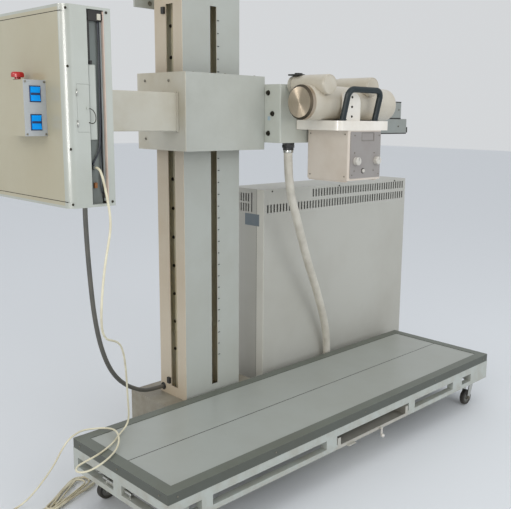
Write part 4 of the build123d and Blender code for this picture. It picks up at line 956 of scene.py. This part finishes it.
# Generator cabinet: grey textured sheet with two rows of slots, painted shade inside, screws at top and
# foot.
# The cable entry box at its foot takes the hose, which a pale tie closes.
generator_coat = worn("generator_coat", (188, 187, 179), (164, 160, 148), blotch=1.6, share=0.45,
                      grain=1000, bump=0.16, rough=(0.42, 0.58), soil=0.3)
# painted shade: the inside faces behind the slots are painted dark so the slots read dark
generator_inside_shade = worn("generator_inside_shade", (66, 60, 48), (88, 76, 56), blotch=6, share=0.6, grain=600,
                  rough=(0.5, 0.7), soil=0.4)
# painted light: a paler copy of the generator paint for the cover's left-facing faces, which the column
# shades
generator_side_lit_coat = worn("generator_side_lit_coat", (218, 217, 208), (190, 186, 172), blotch=3, share=0.4,
                   grain=1000, bump=0.12, rough=(0.4, 0.55), soil=0.2)
side_plate_blue = worn("side_plate_blue", (112, 124, 132), (132, 138, 138), blotch=20, share=0.4)
dress(generator_coat, "generator_body", "generator_cover", "cable_entry")
second_look("generator_cover", generator_inside_shade,
            lambda face: lies_between(face, (0.1345, 0.2195, 0.06), (1.2365, 1.0, 1.0975)))
# the cover's left-facing faces, paler: painted light
second_look("generator_cover", generator_side_lit_coat,
            lambda face: face.normal.x < -0.5 and face.center.x < 0.1335)
# the body's inside faces behind the slots: painted shade
second_look("generator_body", generator_inside_shade,
            lambda face: lies_between(face, (0.1345, 0.2665, 0.063), (1.2365, 0.4505, 1.0975)))
generator_front = 0.218
for name, height in (("generator_screw", 1.091), ("generator_low_screw", 0.078)):
    set_out(cross_screw, name, [(x, generator_front, height) for x in (0.184, 0.661, 1.133)],
            to_front, 0.0042, screw_dark, "base")
rounded_block("generator_side_plate", (0.1313, 0.249, 0.929), (0.1325, 0.345, 0.984), 0.0004,
              side_plate_blue, "base", 1)
rounded_block("generator_seam", (0.1317, 0.2652, 0.0620), (0.1323, 0.2664, 1.0980), 0.0001, screw_dark,
              "base", 1)
ring("hose_tie", (0.562, 0.190, 0.1545), upward, 0.0196, 0.0024, connector_white, "base",
     "knob_white")
set_out(hex_bolt, "entry_bolt", [(x, 0.162, z) for z in (0.088, 0.022) for x in (0.522, 0.602)],
        to_front, 0.005, screw_zinc, "base")


# Patient trolley: laminate panels in a grey edge band on a pale, worn, welded frame.
# Castors with plated forks, a plated foot brake link at the left end, and the cassette tray.
frame_enamel = worn("frame_enamel", (178, 183, 177), (150, 140, 120), blotch=14, share=0.5,
                    grain=420, bump=0.08, rough=(0.25, 0.42), soil=0.16, coat=0.15)
band_vinyl = worn("band_vinyl", (82, 86, 79), (76, 76, 66), blotch=5, share=0.45, grain=800,
                  bump=0.1, rough=(0.38, 0.55), soil=0.0)
# painted light: a lighter copy of the band vinyl for its upward faces
band_top_lit = worn("band_top_lit", (106, 111, 102), (94, 94, 82), blotch=5, share=0.45, grain=800,
                bump=0.1, rough=(0.38, 0.55), soil=0.0)
top_laminate = worn("top_laminate", (166, 170, 164), (150, 150, 140), blotch=1.8, share=0.5,
                    grain=260, bump=0.03, rough=(0.26, 0.4), soil=0.0)
board_underside_shade = worn("board_underside_shade", (84, 74, 60), (60, 52, 42), blotch=8, share=0.5, grain=300,
                  rough=(0.6, 0.8), soil=0.0)
hub_grey = worn("hub_grey", (120, 120, 116), (90, 86, 78), blotch=30, share=0.4,
                rough=(0.35, 0.5), soil=0.05)
seam_dark = worn("seam_dark", (26, 26, 24), (50, 48, 42), blotch=30, share=0.4, soil=0.0)
dress(frame_enamel, "table_frame")
dress(band_vinyl, "table_band")
dress(top_laminate, "table_panels")
dress(generator_coat, "cassette_tray")
dress(knob_enamel, "tray_lever")
# the band's upward faces are painted lighter: painted light from above
second_look("table_band", band_top_lit, lambda face: face.normal.z > 0.5)
# the boards' downward faces are painted dark brown: painted shade under the trolley top
second_look("table_panels", board_underside_shade, lambda face: face.normal.z < -0.5)

castor_trail = 0.026
axle_height = 0.0375
hub_radius = 0.0268
nut_reach = 0.0176
castors = [(-0.823, -0.372, 1), (1.027, -0.372, -1), (-0.823, 0.098, 1), (1.027, 0.098, -1)]
for number, (x, y, trailing) in enumerate(castors, 1):
    axle_x = x + trailing * castor_trail
    dress(bright_plate, f"castor_fork_{number}")
    dress(rubber_black, f"castor_wheel_{number}")
    second_look(f"castor_wheel_{number}", hub_grey, lambda face: math.hypot(
        face.center.x - axle_x, face.center.z - axle_height) < hub_radius)
    for side, outward in (("near", -1), ("far", 1)):
        set_out(hex_bolt, f"axle_nut_{number}_{side}", [(axle_x, y + outward * nut_reach, axle_height)],
                (0, outward, 0), 0.0065, screw_zinc, f"castor_fork_{number}")

board_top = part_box("table_panels")[1][2]
rounded_block("panel_joint_fill", (-0.853, -0.1387, 0.2505), (1.057, -0.1353, board_top + 0.0003),
              0.0002, seam_dark, "base", 1)
brake_x = -0.884
brake_height = 0.163
turned_rod("brake_link", (brake_x, -0.205, brake_height), (brake_x, -0.030, brake_height), 0.0062,
           bright_plate, "base", 24, 0.001)
for number, place in enumerate((-0.195, -0.146, -0.048), 1):
    turned_rod(f"brake_rod_{number}", (brake_x, place, brake_height), (brake_x, place, 0.136), 0.0045,
               bright_plate, "base", 20, 0.0006)
rounded_block("brake_pedal", (-0.893, -0.112, 0.1555), (-0.875, -0.060, 0.1705), 0.004, bright_plate,
              "base", 3)
band_screw_height = 0.2375
set_out(cross_screw, "band_screw",
        [(x, -0.427, band_screw_height) for x in (-0.86, -0.42, 0.10, 0.62, 1.06)],
        to_front, 0.0034, screw_zinc, "base")
set_out(cross_screw, "band_end_screw", [(-0.898, y, band_screw_height) for y in (-0.38, -0.137, 0.106)],
        to_left, 0.0034, screw_zinc, "base")
dress(connector_white, "cord_plug")
